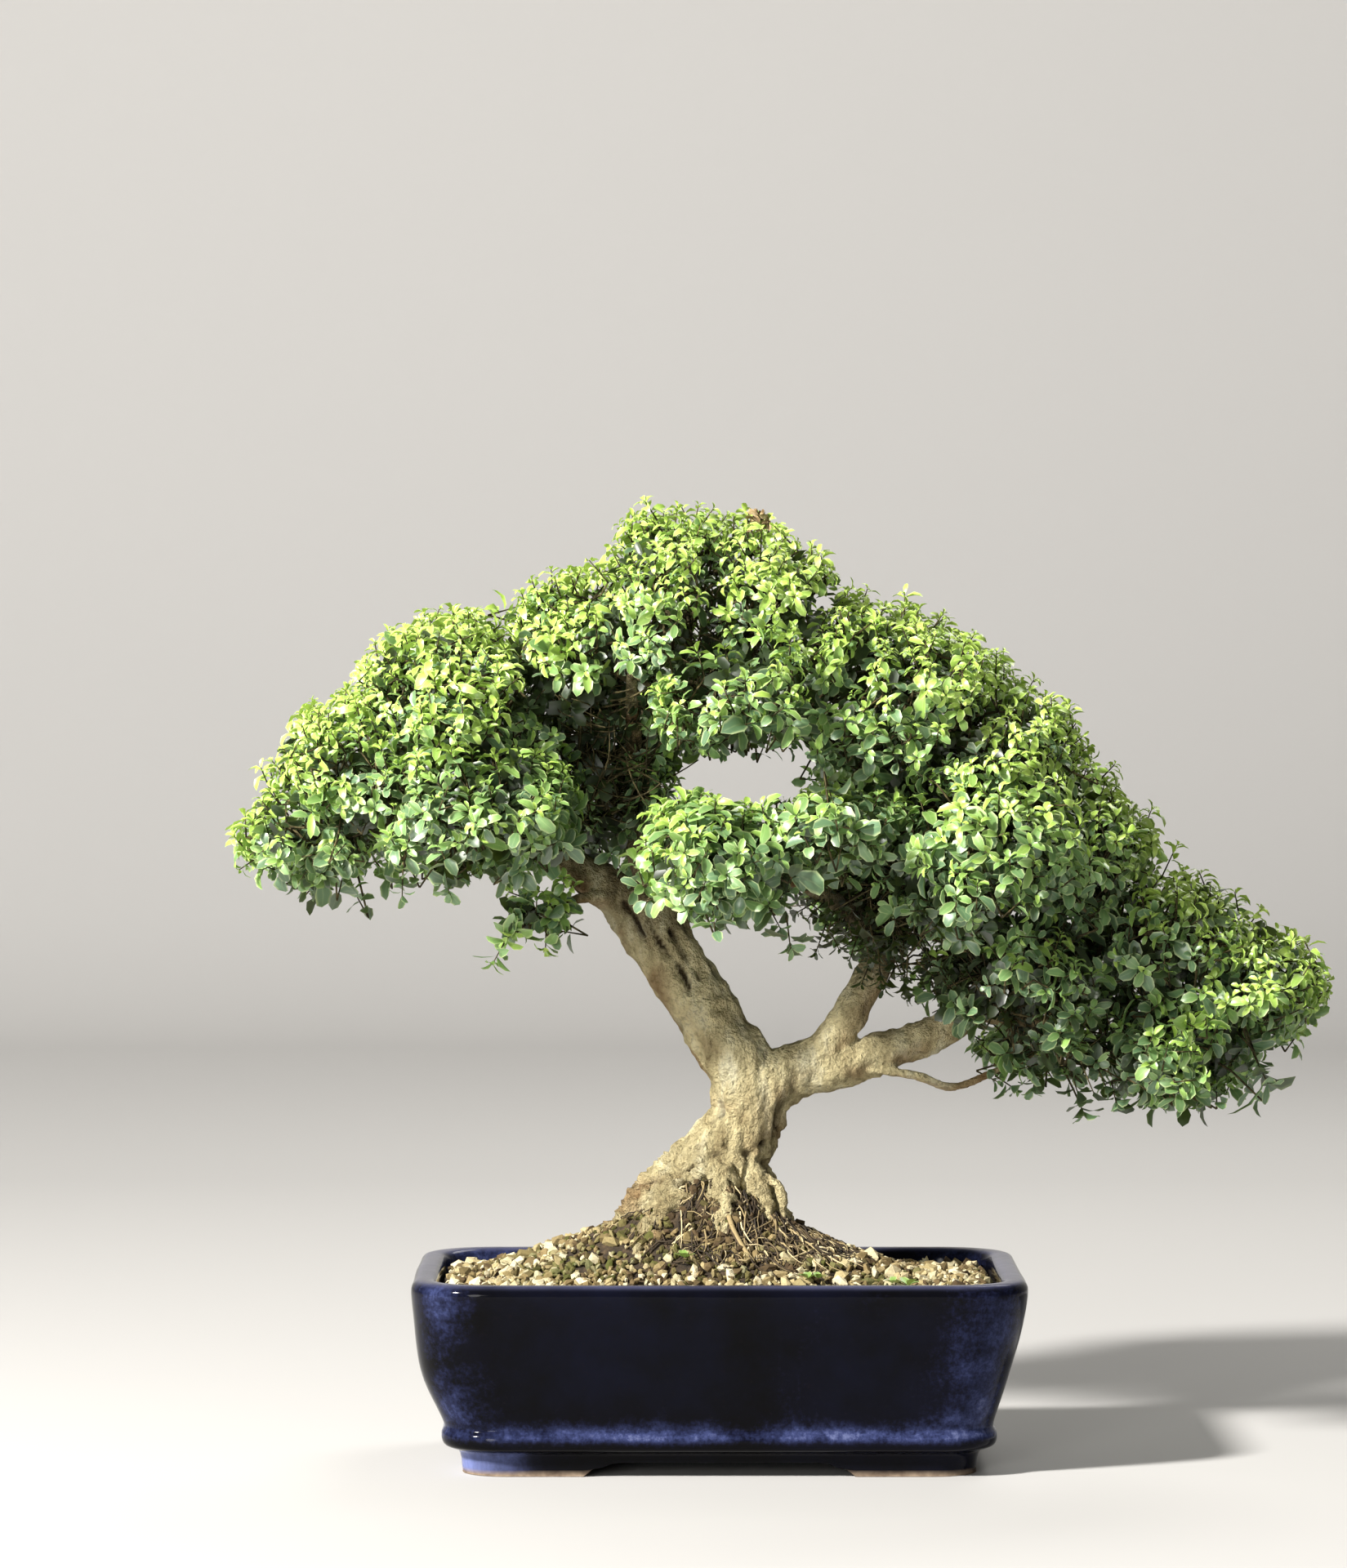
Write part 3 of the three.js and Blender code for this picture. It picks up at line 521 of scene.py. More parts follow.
class Nodes:
    """A material's node tree, with short calls for the nodes that it uses."""

    def __init__(self, name):
        self.material = bpy.data.materials.new(name)
        self.material.use_nodes = True
        self.tree = self.material.node_tree
        self.shader = self.tree.nodes["Principled BSDF"]
        self.output = self.tree.nodes["Material Output"]

    def put(self, kind, **settings):
        node = self.tree.nodes.new(kind)
        for key, value in settings.items():
            setattr(node, key, value)
        return node

    def join(self, source, target):
        self.tree.links.new(source, target)

    def fill(self, socket, value):
        if isinstance(value, bpy.types.NodeSocket):
            self.join(value, socket)
        else:
            socket.default_value = value

    def values(self, *names):
        return [self.put("ShaderNodeAttribute", attribute_name=name).outputs["Fac"] for name in names]

    def place(self):
        return self.put("ShaderNodeTexCoord").outputs["Object"]

    def stretched(self, scale):
        mapping = self.put("ShaderNodeMapping")
        mapping.inputs["Scale"].default_value = scale
        self.join(self.place(), mapping.inputs["Vector"])
        return mapping.outputs["Vector"]

    def noise(self, scale, detail=4.0, rough=0.55, vector=None):
        node = self.put("ShaderNodeTexNoise")
        node.inputs["Scale"].default_value = scale
        node.inputs["Detail"].default_value = detail
        node.inputs["Roughness"].default_value = rough
        self.join(vector or self.place(), node.inputs["Vector"])
        return node.outputs["Fac"]

    def math(self, operation, first, second):
        node = self.put("ShaderNodeMath", operation=operation)
        self.fill(node.inputs[0], first)
        self.fill(node.inputs[1], second)
        return node.outputs[0]

    def times(self, first, second):
        return self.math("MULTIPLY", first, second)

    def plus(self, first, second):
        return self.math("ADD", first, second)

    def span(self, value, low, high, to_low=0.0, to_high=1.0):
        node = self.put("ShaderNodeMapRange", clamp=True)
        self.fill(node.inputs["Value"], value)
        for key, number in zip(("From Min", "From Max", "To Min", "To Max"), (low, high, to_low, to_high)):
            node.inputs[key].default_value = number
        return node.outputs["Result"]

    def ramp(self, value, stops):
        node = self.put("ShaderNodeValToRGB")
        self.fill(node.inputs["Fac"], value)
        elements = node.color_ramp.elements
        while len(elements) < len(stops):
            elements.new(0.5)
        for element, (position, colour) in zip(elements, stops):
            element.position = position
            element.color = linear(*colour)
        return node.outputs["Color"]

    def mix(self, share, first, second):
        node = self.put("ShaderNodeMix", data_type="RGBA")
        self.fill(node.inputs["Factor"], share)
        self.fill(node.inputs[MIX_FIRST], first)
        self.fill(node.inputs[MIX_SECOND], second)
        return node.outputs[MIX_RESULT]

    def bump(self, height, strength, distance):
        node = self.put("ShaderNodeBump")
        node.inputs["Strength"].default_value = strength
        node.inputs["Distance"].default_value = distance
        self.join(height, node.inputs["Height"])
        self.join(node.outputs["Normal"], self.shader.inputs["Normal"])

    def surface(self, colour, roughness, shine=0.5):
        self.fill(self.shader.inputs["Base Color"], colour)
        self.fill(self.shader.inputs["Roughness"], roughness)
        self.shader.inputs["Specular IOR Level"].default_value = shine


def leaf_material():
    n = Nodes("leaf")
    tone_and_shade, across = n.values("tone_and_shade", "across")
    fresh = n.ramp(tone_and_shade, LEAF_RAMP)
    mottled = n.mix(n.span(n.noise(420.0, 2.0), 0.3, 0.7, 0.0, 0.22), fresh, linear(64, 92, 52))
    # Paler margins and midrib: partly the leaf's own, partly a painted highlight, so they show only on
    # brighter leaves
    rim = n.times(n.span(across, 0.66, 1.0), n.span(tone_and_shade, 0.1, 0.35, 0.0, 0.55))
    rib = n.times(n.span(across, 0.12, 0.02), n.span(tone_and_shade, 0.1, 0.35, 0.0, 0.12))
    colour = n.mix(n.math("MAXIMUM", rim, rib), mottled, linear(222, 232, 168))
    n.surface(colour, n.span(n.noise(300.0, 2.0), 0.3, 0.7, 0.36, 0.5), 1.0)
    n.shader.inputs["IOR"].default_value = 1.54
    through = n.put("ShaderNodeBsdfTranslucent")
    n.join(n.mix(0.5, colour, linear(150, 180, 60)), through.inputs["Color"])
    both = n.put("ShaderNodeMixShader")
    both.inputs["Fac"].default_value = 0.2
    n.join(n.shader.outputs["BSDF"], both.inputs[1])
    n.join(through.outputs["BSDF"], both.inputs[2])
    n.join(both.outputs["Shader"], n.output.inputs["Surface"])
    return n.material


def bark_material():
    n = Nodes("bark")
    crevice_and_crown_shade, reddish, age_and_crown_shade = n.values("crevice_and_crown_shade", "reddish", "age_and_crown_shade")
    streaks = n.noise(110.0, 6.0, 0.62, n.stretched((1.0, 1.0, 0.4)))
    blotches = n.noise(34.0, 4.0)
    fine = n.noise(640.0, 5.0, 0.7)
    base = n.ramp(streaks, BARK_RAMP)
    weathered = n.mix(n.span(blotches, 0.48, 0.66, 0.0, 0.5), base, linear(142, 128, 92))
    # Darker grey-brown high up: partly the upper limbs' older bark, partly painted shade under the crown
    old = n.mix(n.times(age_and_crown_shade, n.span(streaks, 0.3, 0.65, 1.0, 0.45)), weathered, linear(60, 52, 33))
    rusty = n.mix(reddish, old, linear(150, 112, 74))
    # Dark brown painted shade in the bark's crevices and on the right limb's upper part
    deep = n.mix(n.span(crevice_and_crown_shade, 0.08, 0.8, 0.0, 0.96), rusty, linear(46, 34, 20))
    colour = n.mix(n.span(fine, 0.36, 0.5, 0.4, 0.0), deep, linear(96, 76, 46))
    n.surface(colour, 0.9, 0.15)
    grit = n.noise(300.0, 3.0, 0.6)
    height = n.plus(n.times(streaks, 0.5), n.plus(n.times(fine, 0.5), grit))
    n.bump(height, 1.0, 0.0075)
    return n.material


def glaze_material():
    n = Nodes("glaze")
    thin, bare, lip, painted_foot_light = n.values("thin", "bare", "lip", "painted_foot_light")
    runs = n.noise(30.0, 7.0, 0.7, n.stretched((1.0, 1.0, 0.3)))
    clouds = n.noise(24.0, 5.0, 0.6)
    specks = n.noise(620.0, 4.0, 0.72)
    mass = n.mix(n.span(clouds, 0.42, 0.72, 0.0, 0.7), linear(7, 7, 9), linear(13, 15, 30))
    broken = n.times(n.math("SUBTRACT", n.plus(runs, n.times(specks, 0.5)), 0.75), 1.5)
    patchy = n.span(n.noise(26.0, 6.0, 0.62, n.stretched((1.0, 1.0, 2.4))), 0.36, 0.62, 0.5, 1.2)
    # Where the glaze is thin it shows blue; up the corners this blue also stands for a painted reflection
    worn = n.plus(n.times(thin, patchy), broken)
    blue = n.ramp(worn, GLAZE_RAMP)
    coated = n.mix(n.span(worn, 0.1, 0.34), mass, blue)
    speckled = n.mix(n.span(specks, 0.6, 0.75, 0.0, 0.45), coated, linear(24, 18, 20))
    # A paler band on the rim's top: a painted reflection
    lipped = n.mix(n.times(lip, n.span(runs, 0.3, 0.6, 0.45, 0.95)), speckled, linear(66, 68, 92))
    # Lavender painted light on the front-left foot, which lies in the ledge's shade
    footed = n.mix(n.times(painted_foot_light, n.span(runs, 0.34, 0.6, 0.2, 0.85)), lipped, linear(118, 128, 178))
    clay = n.ramp(n.noise(300.0, 5.0), CLAY_RAMP)
    n.surface(n.mix(bare, footed, clay), n.span(bare, 0.0, 1.0, 0.1, 0.9), 0.07)
    n.bump(n.noise(46.0, 3.0), 0.25, 0.0008)
    return n.material


def root_material():
    n = Nodes("fine_root")
    (shade,) = n.values("shade")
    n.surface(n.ramp(shade, FINE_ROOT_RAMP), 0.85)
    n.bump(n.noise(900.0, 4.0), 0.4, 0.0003)
    return n.material


def grain_material():
    n = Nodes("soil_grain")
    shade, moss = n.values("shade", "moss")
    fine = n.noise(1400.0, 4.0, 0.7)
    base = n.ramp(shade, GRAIN_RAMP)
    mossy = n.mix(moss, base, linear(74, 84, 32))
    colour = n.mix(n.span(fine, 0.3, 0.7, 0.45, 0.0), mossy, linear(84, 70, 46))
    n.surface(colour, 0.92, 0.2)
    n.bump(fine, 0.6, 0.0004)
    return n.material


# A dull material of one grain, from a row of GRAINED
def grained_material(name):
    scale, detail, rough, ramp, roughness, shine, strength, distance = GRAINED[name]
    n = Nodes(name)
    grain = n.noise(scale, detail, rough)
    n.surface(n.ramp(grain, ramp), roughness, shine)
    n.bump(grain, strength, distance)
    return n.material


# The pot

# The pot's plan, set in from the rim: a rectangle with round corners
def plan_ring(inset, corner_steps, long_steps, short_steps):
    half_x, half_y = np.array(POT_HALF) - inset
    corner = min(half_x, half_y, max(2.0, POT_CORNER - inset * 0.55))
    arcs = []
    for side, (sign_x, sign_y) in enumerate(((1, 1), (-1, 1), (-1, -1), (1, -1))):
        angle = (side + np.arange(corner_steps + 1) / corner_steps) * math.pi / 2
        middle = (sign_x * (half_x - corner), sign_y * (half_y - corner))
        arcs.append(np.column_stack([np.cos(angle), np.sin(angle)]) * corner + middle)
    rows = []
    for side, arc in enumerate(arcs):
        steps = short_steps if side % 2 else long_steps
        rows += [arc, np.linspace(arc[-1], arcs[(side + 1) % 4][0], steps + 1)[1:-1]]
    return np.vstack(rows)


# How high the arches between the feet lift the pot's underside
def arch_height(x, y):
    steps, heights = zip(*FOOT_ARCH)
    along = np.interp(LONG_ARCH - np.abs(x), steps, heights) * (np.abs(y) > 28)
    across = np.interp(SHORT_ARCH - np.abs(y), steps, heights) * (np.abs(x) > 56)
    return np.maximum(along, across)


# Four-cornered faces between rings of so many points each
def ring_faces(rings, count):
    step = np.arange(rings - 1)[:, None] * count
    near = np.arange(count)[None, :]
    far = (near + 1) % count
    corners = [step + near, step + far, step + count + far, step + count + near]
    return np.stack(corners, axis=-1).reshape(-1, 4)


# A ring of the pot's wall, and at each of its points how thin and bare the glaze is, how much painted
# reflection lies on the raised rim, and how much painted light falls on the front-left foot
def pot_ring(inset, z):
    plan = plan_ring(inset, *POT_STEPS)
    x, y = plan.T
    level = np.full(len(plan), z)
    height = np.maximum(z, arch_height(x, y)) if z < UNDERSIDE_Z else level
    wobble = 0.3 * noise_at(np.column_stack([plan, level]), 34.0, 3)
    bulge = LEFT_BULGE * bell(z, BULGE_Z, BULGE_SPREAD) * smoothstep(-60.0, -92.0, x)
    outward = unit(plan) * wobble[:, None] - np.column_stack([bulge, 0 * bulge])
    ring = np.column_stack([plan + outward * (z > 6 and inset < 13), height])
    share = np.abs(plan) / (np.array(POT_HALF) - inset)
    corner = smoothstep(0.6, 0.92, share[:, 0] * share[:, 1])
    spread = 2.2 if z < LEDGE_Z else 5.6
    band = 0.7 * bell(z, LEDGE_Z, spread) * (inset < 16)
    on_foot = float(z < FOOT_TOP and inset < 17)
    foot = 0.9 * on_foot * smoothstep(-52.0, -72.0, x)
    # Lavender up the corners: thin glaze, and a painted reflection there, stronger on the left
    edge = (0.62 + 0.18 * smoothstep(-70.0, -88.0, x)) * corner * smoothstep(14.0, 18.0, z)
    return ring, {
        "thin": np.maximum(np.maximum(band, foot), edge),
        "bare": float(z < 1.4 or (inset > 17 and z < 6)) * (height < 1.6),
        "lip": bell(level, LIP_Z, 0.7),
        # Painted light on the front-left foot
        "painted_foot_light": on_foot * smoothstep(-56.0, -84.0, x) * (y < 0),
    }


def make_pot(glaze):
    wall = np.vstack([smooth_rows(POT_UNDER, 26), smooth_rows(POT_OUTSIDE, 96), POT_INSIDE])
    rings, wear = zip(*(pot_ring(inset, z) for inset, z in wall))
    values = {key: np.concatenate([row[key] for row in wear]) for key in wear[0]}
    shape = np.vstack(rings), ring_faces(len(rings), len(rings[0]))
    pot = make_piece("pot_glazed", shape, glaze, "glaze", "pot", **values)
    cap_pot(pot, len(rings[0]))


# Closes the underside with one many-cornered face
def cap_pot(pot, count):
    work = bmesh.new()
    work.from_mesh(pot.data)
    work.verts.ensure_lookup_table()
    work.faces.new([work.verts[k] for k in reversed(range(count))])
    work.to_mesh(pot.data)
    work.free()


# The soil

def soil_height(x, y):
    u = (x - MOUND["x"]) / np.where(x < MOUND["x"], MOUND["spread_left"], MOUND["spread_right"])
    v = (y - MOUND["y"]) / MOUND["spread_y"]
    return SOIL_EDGE_Z + MOUND["height"] * np.exp(-(u * u + v * v) / 2)


# The soil's height with the mat of fine roots in front of the trunk
def bed_height(x, y):
    mat = bell(x, ROOT_MAT["x"], ROOT_MAT["spread_x"]) * bell(y, ROOT_MAT["y"], ROOT_MAT["spread_y"])
    return soil_height(x, y) + ROOT_MAT["height"] * mat


def make_soil(material):
    edge = plan_ring(SOIL_INSET, *SOIL_STEPS)
    level = np.ones(len(edge))
    rings = [np.column_stack([plan_ring(inset, *SOIL_STEPS), level * z]) for inset, z in SOIL_SIDES]
    for share in np.linspace(1.0, 0.02, 44):
        plan = edge * share
        flat = np.column_stack([plan, level * 0])
        bumps = 0.8 * noise_at(flat, 5.0, 21) + 0.4 * noise_at(flat, 2.2, 22)
        rings.append(np.column_stack([plan, bed_height(*plan.T) + bumps - 0.8]))
    shape = np.vstack(rings), ring_faces(len(rings), len(edge))
    make_piece("soil_bed", shape, material, "soil", "soil")


def ball():
    work = bmesh.new()
    bmesh.ops.create_icosphere(work, subdivisions=1, radius=1.0)
    points = np.array([v.co[:] for v in work.verts])
    faces = np.array([[v.index for v in f.verts] for f in work.faces])
    work.free()
    return points, faces


# Angular grains, each a jittered ball of its own, and how many points each has
def grains(rng, places, sizes):
    points, faces = ball()
    count = len(places)
    jitter = 1.0 + 0.46 * (rng.random((count, len(points), 1)) - 0.5)
    stretch = np.array(GRAIN_STRETCH) * (0.8 + 0.4 * rng.random((count, 1, 3)))
    turn = random_turns(rng, count)
    shaped = np.einsum("nij,nvj->nvi", turn, points[None] * jitter * stretch) * sizes[:, None, None]
    moved = shaped + places[:, None, :]
    return (moved.reshape(-1, 3), copied(faces, count, len(points))), len(points)


def random_turns(rng, count):
    w, x, y, z = unit(rng.normal(size=(count, 4))).T
    rows = [
        [1 - 2 * (y * y + z * z), 2 * (x * y - z * w), 2 * (x * z + y * w)],
        [2 * (x * y + z * w), 1 - 2 * (x * x + z * z), 2 * (y * z - x * w)],
        [2 * (x * z - y * w), 2 * (y * z + x * w), 1 - 2 * (x * x + y * y)],
    ]
    return np.array(rows).transpose(2, 0, 1)


# Random places on the soil, clear of the pot's wall and of the trunk
def soil_places(rng, count, clear):
    half_x, half_y = np.array(POT_HALF) - SOIL_INSET - clear
    x = rng.uniform(-half_x, half_x, count * 2)
    y = rng.uniform(-half_y, half_y, count * 2)
    over_x = np.maximum(np.abs(x) - (half_x - SOIL_CORNER), 0)
    over_y = np.maximum(np.abs(y) - (half_y - SOIL_CORNER), 0)
    trunk = oval_share(x, y, TRUNK_FOOT) > 1
    keep = np.flatnonzero((np.hypot(over_x, over_y) < SOIL_CORNER) & trunk)[:count]
    return x[keep], y[keep]


def moss_at(rng, x, y):
    cover = np.zeros(len(x))
    for oval in MOSS:
        cover = np.maximum(cover, 1.15 - oval_share(x, y, oval))
    return np.clip(cover + 0.35 * rng.normal(size=len(x)), 0, 1) * 0.85


def make_grains(material):
    rng = np.random.default_rng(GRAIN_SEED)
    for name, count, least, most, clear, mossy in GRAINS:
        x, y = soil_places(rng, count, clear)
        sizes = least + (most - least) * rng.random(len(x)) ** 1.8
        large = most > LARGE_GRAIN
        if large:
            near = smoothstep(-32.0, -50.0, y) + smoothstep(30.0, 60.0, np.abs(x - MOUND["x"]))
            keep = rng.random(len(x)) < 0.12 + 0.8 * near
            x, y, sizes = x[keep], y[keep], sizes[keep]
        z = bed_height(x, y) + rng.uniform(-0.7, 0.5, len(x)) * sizes * 0.5
        shape, each = grains(rng, np.column_stack([x, y, z]), sizes)
        dark_patch = bell(oval_share(x, y, DARK_PATCH), 0.0, 1.0)
        shade = np.clip((rng.beta(1.5, 1.2, len(x)) + 0.12 * large) * (1.0 - 0.85 * dark_patch), 0, 1)
        moss = moss_at(rng, x, y) * mossy
        values = {"shade": np.repeat(shade, each), "moss": np.repeat(moss, each)}
        make_piece(name, shape, material, "soil", smooth=False, **values)


# Fine dead roots that lie over the heap, thickest in front of the trunk and a little to its right
def make_fine_roots(material):
    rng = np.random.default_rng(ROOT_SEED)
    reach = rng.random(FINE_ROOTS) ** 0.8
    angle = rng.normal(-1.15, 0.85, FINE_ROOTS)
    start_x = 6 + (14 + 26 * reach) * np.cos(angle)
    start_y = -4 + (12 + 22 * reach) * np.sin(angle)
    length = 4.0 + 11.0 * rng.random(FINE_ROOTS) ** 2
    turn = angle + rng.normal(0, 0.9, FINE_ROOTS)
    bend = rng.normal(0, 0.7, FINE_ROOTS)
    rings = []
    for share in np.linspace(0, 1, ROOT_RINGS):
        way = turn + bend * (share - 0.5)
        x = start_x + length * share * np.cos(way)
        y = start_y + length * share * np.sin(way)
        lift = 0.7 + 1.1 * np.sin(share * math.pi) * rng.random(FINE_ROOTS)
        rings.append(np.column_stack([x, y, bed_height(x, y) + lift]))
    radii = (0.22 + 0.3 * rng.random((FINE_ROOTS, 1)) ** 2) * np.linspace(1, 0.5, ROOT_RINGS)[None]
    shape = tubes(np.stack(rings, axis=1), radii, ROOT_SIDES)
    shade = np.repeat(rng.random(FINE_ROOTS), ROOT_RINGS * ROOT_SIDES)
    make_piece("fine_roots", shape, material, "bark", shade=shade)
    path = smooth_rows([(x, y, bed_height(x, y) + lift, radius) for x, y, lift, radius in BOLD_ROOT], 14)
    shape = tubes(path[None, :, :3], path[None, :, 3], 10)
    make_piece("surface_root", shape, material, "bark", shade=np.full(len(shape[0]), 0.85))


def make_seedlings(leaf):
    rng = np.random.default_rng(SEEDLING_SEED)
    x, y, reach = np.array(SEEDLINGS).T
    count = len(x)
    base = np.column_stack([x, y, bed_height(x, y) + 2.2])
    bend = np.full(count, 0.3)
    parts = []
    for k in range(SEEDLING_LEAVES):
        angle = k * math.pi / 2 + rng.normal(0, 0.3, count)
        way = unit(np.column_stack([np.cos(angle), np.sin(angle), 0.5 + 0.3 * rng.random(count)]))
        up = unit(np.array([0.0, 0.0, 1.0]) - way * way[:, 2:])
        size = reach * (1.0 if k % 2 else 0.75)
        shape, edge = make_leaves(LEAF_OUTLINE, base, way, up, size, size * 0.62, bend, bend)
        parts.append(shape)
    shape = joined(parts)
    values = {"tone_and_shade": np.full(len(shape[0]), 0.62), "across": np.tile(edge, SEEDLING_LEAVES * count)}
    make_piece("seedlings", shape, leaf, "leaf", **values)


# The wood

# A round tube through a limb's rows
def limb_tube(rows, sides=22):
    rows = np.asarray(rows, dtype=np.float64)
    length = np.linalg.norm(np.diff(rows[:, :3], axis=0), axis=1).sum()
    path = smooth_rows(rows, max(6, int(length / 2.2)))
    return tubes(path[None, :, :3], np.maximum(path[None, :, 3], 0.5), sides)


# Parts grown together and smoothed: the points, the way out at each, and the faces
def fused(name, parts):
    points, faces = joined(parts)
    mesh = bpy.data.meshes.new(name)
    mesh.from_pydata((points * MM).tolist(), [], faces.tolist())
    work = bpy.data.objects.new(name, mesh)
    bpy.context.scene.collection.objects.link(work)
    remesh = work.modifiers.new("voxels", "REMESH")
    remesh.mode = "VOXEL"
    remesh.voxel_size = BARK_VOXEL * MM
    smooth = work.modifiers.new("smooth", "SMOOTH")
    smooth.factor = 0.5
    smooth.iterations = 4
    graph = bpy.context.evaluated_depsgraph_get()
    done = bpy.data.meshes.new_from_object(work.evaluated_get(graph))
    rows = []
    for key in ("co", "normal"):
        values = np.empty(len(done.vertices) * 3)
        done.vertices.foreach_get(key, values)
        rows.append(values.reshape(-1, 3))
    corners = np.array([tuple(p.vertices) for p in done.polygons])
    bpy.data.objects.remove(work)
    bpy.data.meshes.remove(mesh)
    bpy.data.meshes.remove(done)
    return rows[0] / MM, rows[1], corners


def ridged(points, size, seed):
    return 1.0 - 2.0 * np.abs(noise_at(points, size, seed))


# How far the bark stands out: crags on the roots, pebbles low on the trunk, strands on the limbs
def bark_relief(points):
    low = smoothstep(126.0, 92.0, points[:, 2])
    root = smoothstep(106.0, 86.0, points[:, 2])
    warped = points + 1.8 * np.column_stack([noise_at(points, 5.0, 61 + k) for k in range(3)])
    crags = noise_at(warped, 7.5, 31) + 1.1 * ridged(warped, 4.4, 32) + ridged(warped, 2.5, 36)
    pits = -1.3 * smoothstep(0.2, 0.7, noise_at(warped, 2.6, 34))
    pebbles = 0.8 * noise_at(warped, 2.0, 40) + 0.6 * noise_at(warped, 3.8, 38)
    along = points * np.array([1.0, 1.0, 0.34])
    strands = 0.95 * ridged(along, 5.0, 33) + 0.6 * noise_at(along, 2.3, 37)
    relief = root * crags * 1.9 + low * (pebbles + pits) * 1.3 + (1 - root) * strands
    relief += 0.6 * noise_at(points, 12.0, 35) + 0.2 * noise_at(points, 1.5, 39)
    for *middle, radius, lip in SCARS:
        away = np.linalg.norm(warped - np.array(middle), axis=1)
        relief += lip * (bell(away, radius, 1.1) - 1.6 * bell(away, 0.0, 0.6 * radius))
    bent = 0.7 * points + 0.3 * warped
    for line in FISSURES:
        away = np.min(np.linalg.norm(bent[:, None, :] - smooth_rows(line, 16)[None], axis=2), axis=1)
        relief -= 3.0 * bell(away, 0.0, 1.3)
    return relief


def make_wood(material):
    thick = [limb_tube(rows) for rows in LIMBS.values()]
    thin = [limb_tube(rows, 10) for rows in BRANCHES]
    roots = [limb_tube(rows, 14) for rows in ROOTS]
    points, normals, faces = fused("wood", thick + roots + thin)
    x, _, z = points.T
    relief = bark_relief(points)
    reach = np.clip(thickness_at(points) / 7.0, 0.1, 1.0)
    moved = points + normals * (relief * reach)[:, None]
    root = smoothstep(104.0, 82.0, z)
    # The upper part of the right limb, in the crown's shade
    shaded = smoothstep(28.0, 40.0, x) * smoothstep(156.0, 170.0, z)
    # Painted shade: darker in the bark's crevices, and on the upper part of the right limb under the crown
    crevice_and_crown_shade = np.maximum(np.clip(-relief * 0.55 * reach - 0.05, 0, 1), 0.6 * shaded)
    patches = smoothstep(0.0, 0.6, noise_at(points, 9.0, 71)) * smoothstep(-8.0, -20.0, x)
    # Downward-facing undersides take the darker reddish brown as well
    below = smoothstep(0.15, -0.45, normals[:, 2]) * (1.0 - root)
    below = below * smoothstep(-0.5, 0.3, noise_at(points, 7.0, 73))
    outer = smoothstep(66.0, 84.0, x)
    reddish = np.maximum(np.maximum(root * patches, 0.8 * outer), 0.75 * below) * 0.7 * (1.0 - shaded)
    # Darker higher up, and sooner on the right limb: partly older bark, partly painted shade under the crown
    right = smoothstep(30.0, 44.0, x) * smoothstep(150.0, 164.0, z)
    rise = z + 9.0 * noise_at(points, 14.0, 72) + 24.0 * right
    age_and_crown_shade = 0.75 * smoothstep(146.0, 180.0, rise) + 0.25 * smoothstep(180.0, 205.0, rise)
    values = {"crevice_and_crown_shade": crevice_and_crown_shade, "reddish": reddish, "age_and_crown_shade": np.maximum(age_and_crown_shade, shaded)}
    make_piece("trunk_bark", (moved, faces), material, "bark", "trunk", **values)


# The radius of the limb nearest to each point
def thickness_at(points):
    rows = np.vstack([smooth_rows(r, 24) for r in [*LIMBS.values(), *BRANCHES, *ROOTS]])
    best = np.full(len(points), np.inf)
    radius = np.zeros(len(points))
    for row in rows:
        away = np.linalg.norm(points - row[:3], axis=1) - row[3]
        nearer = away < best
        best[nearer] = away[nearer]
        radius[nearer] = row[3]
    return radius


# The foliage

class Lobe:
    def __init__(self, node, numbers):
        self.node = node
        self.centre = np.array(numbers[:3], dtype=float)
        self.reach = np.array(numbers[3:6], dtype=float)
        self.leaf = numbers[6]

    # How deep each point lies, as a share of the way out to the reach less under
    def share(self, points, under):
        return np.linalg.norm((points - self.centre) / np.maximum(self.reach - under, 3.0), axis=1)


LOBES = [Lobe(node, numbers) for node, rows in FOLIAGE.items() for numbers in rows]
AROUND = list(itertools.product((-1, 0, 1), repeat=3))


# One of each pair of points nearer than apart is dropped
def thinned(points, apart, order):
    kept = []
    cells = {}
    for k in order:
        cell = np.floor(points[k] / apart).astype(int)
        rows = [cells.get((cell[0] + i, cell[1] + j, cell[2] + l), ()) for i, j, l in AROUND]
        gaps = (points[other] - points[k] for row in rows for other in row)
        if not any(gap[0] * gap[0] + gap[1] * gap[1] + gap[2] * gap[2] < apart * apart for gap in gaps):
            cells.setdefault(tuple(cell), []).append(k)
            kept.append(k)
    return np.array(kept, dtype=int)


# How far the crown's surface swells: low in the creases between sprays, high on the sprays
def swelling(points):
    sprays = smoothstep(0.02, 0.42, np.abs(noise_at(points, 15.0, 41)))
    return 1.3 * sprays - 0.8 + 0.5 * noise_at(points, 30.0, 42)


# How deep in a hollow of the crown's front each point lies, from 0 to 1, and how far back that pushes it
def hollow_at(points):
    x, z = seen(points)
    x = x + 4.0 * noise_at(points, 12.0, 43)
    z = z + 4.0 * noise_at(points, 12.0, 44)
    most = np.zeros(len(points))
    push = np.zeros(len(points))
    for *oval, depth in HOLLOWS:
        inside = smoothstep(1.15, 0.55, oval_share(x, z, oval))
        most = np.maximum(most, inside)
        push = np.maximum(push, inside * depth)
    return most, push


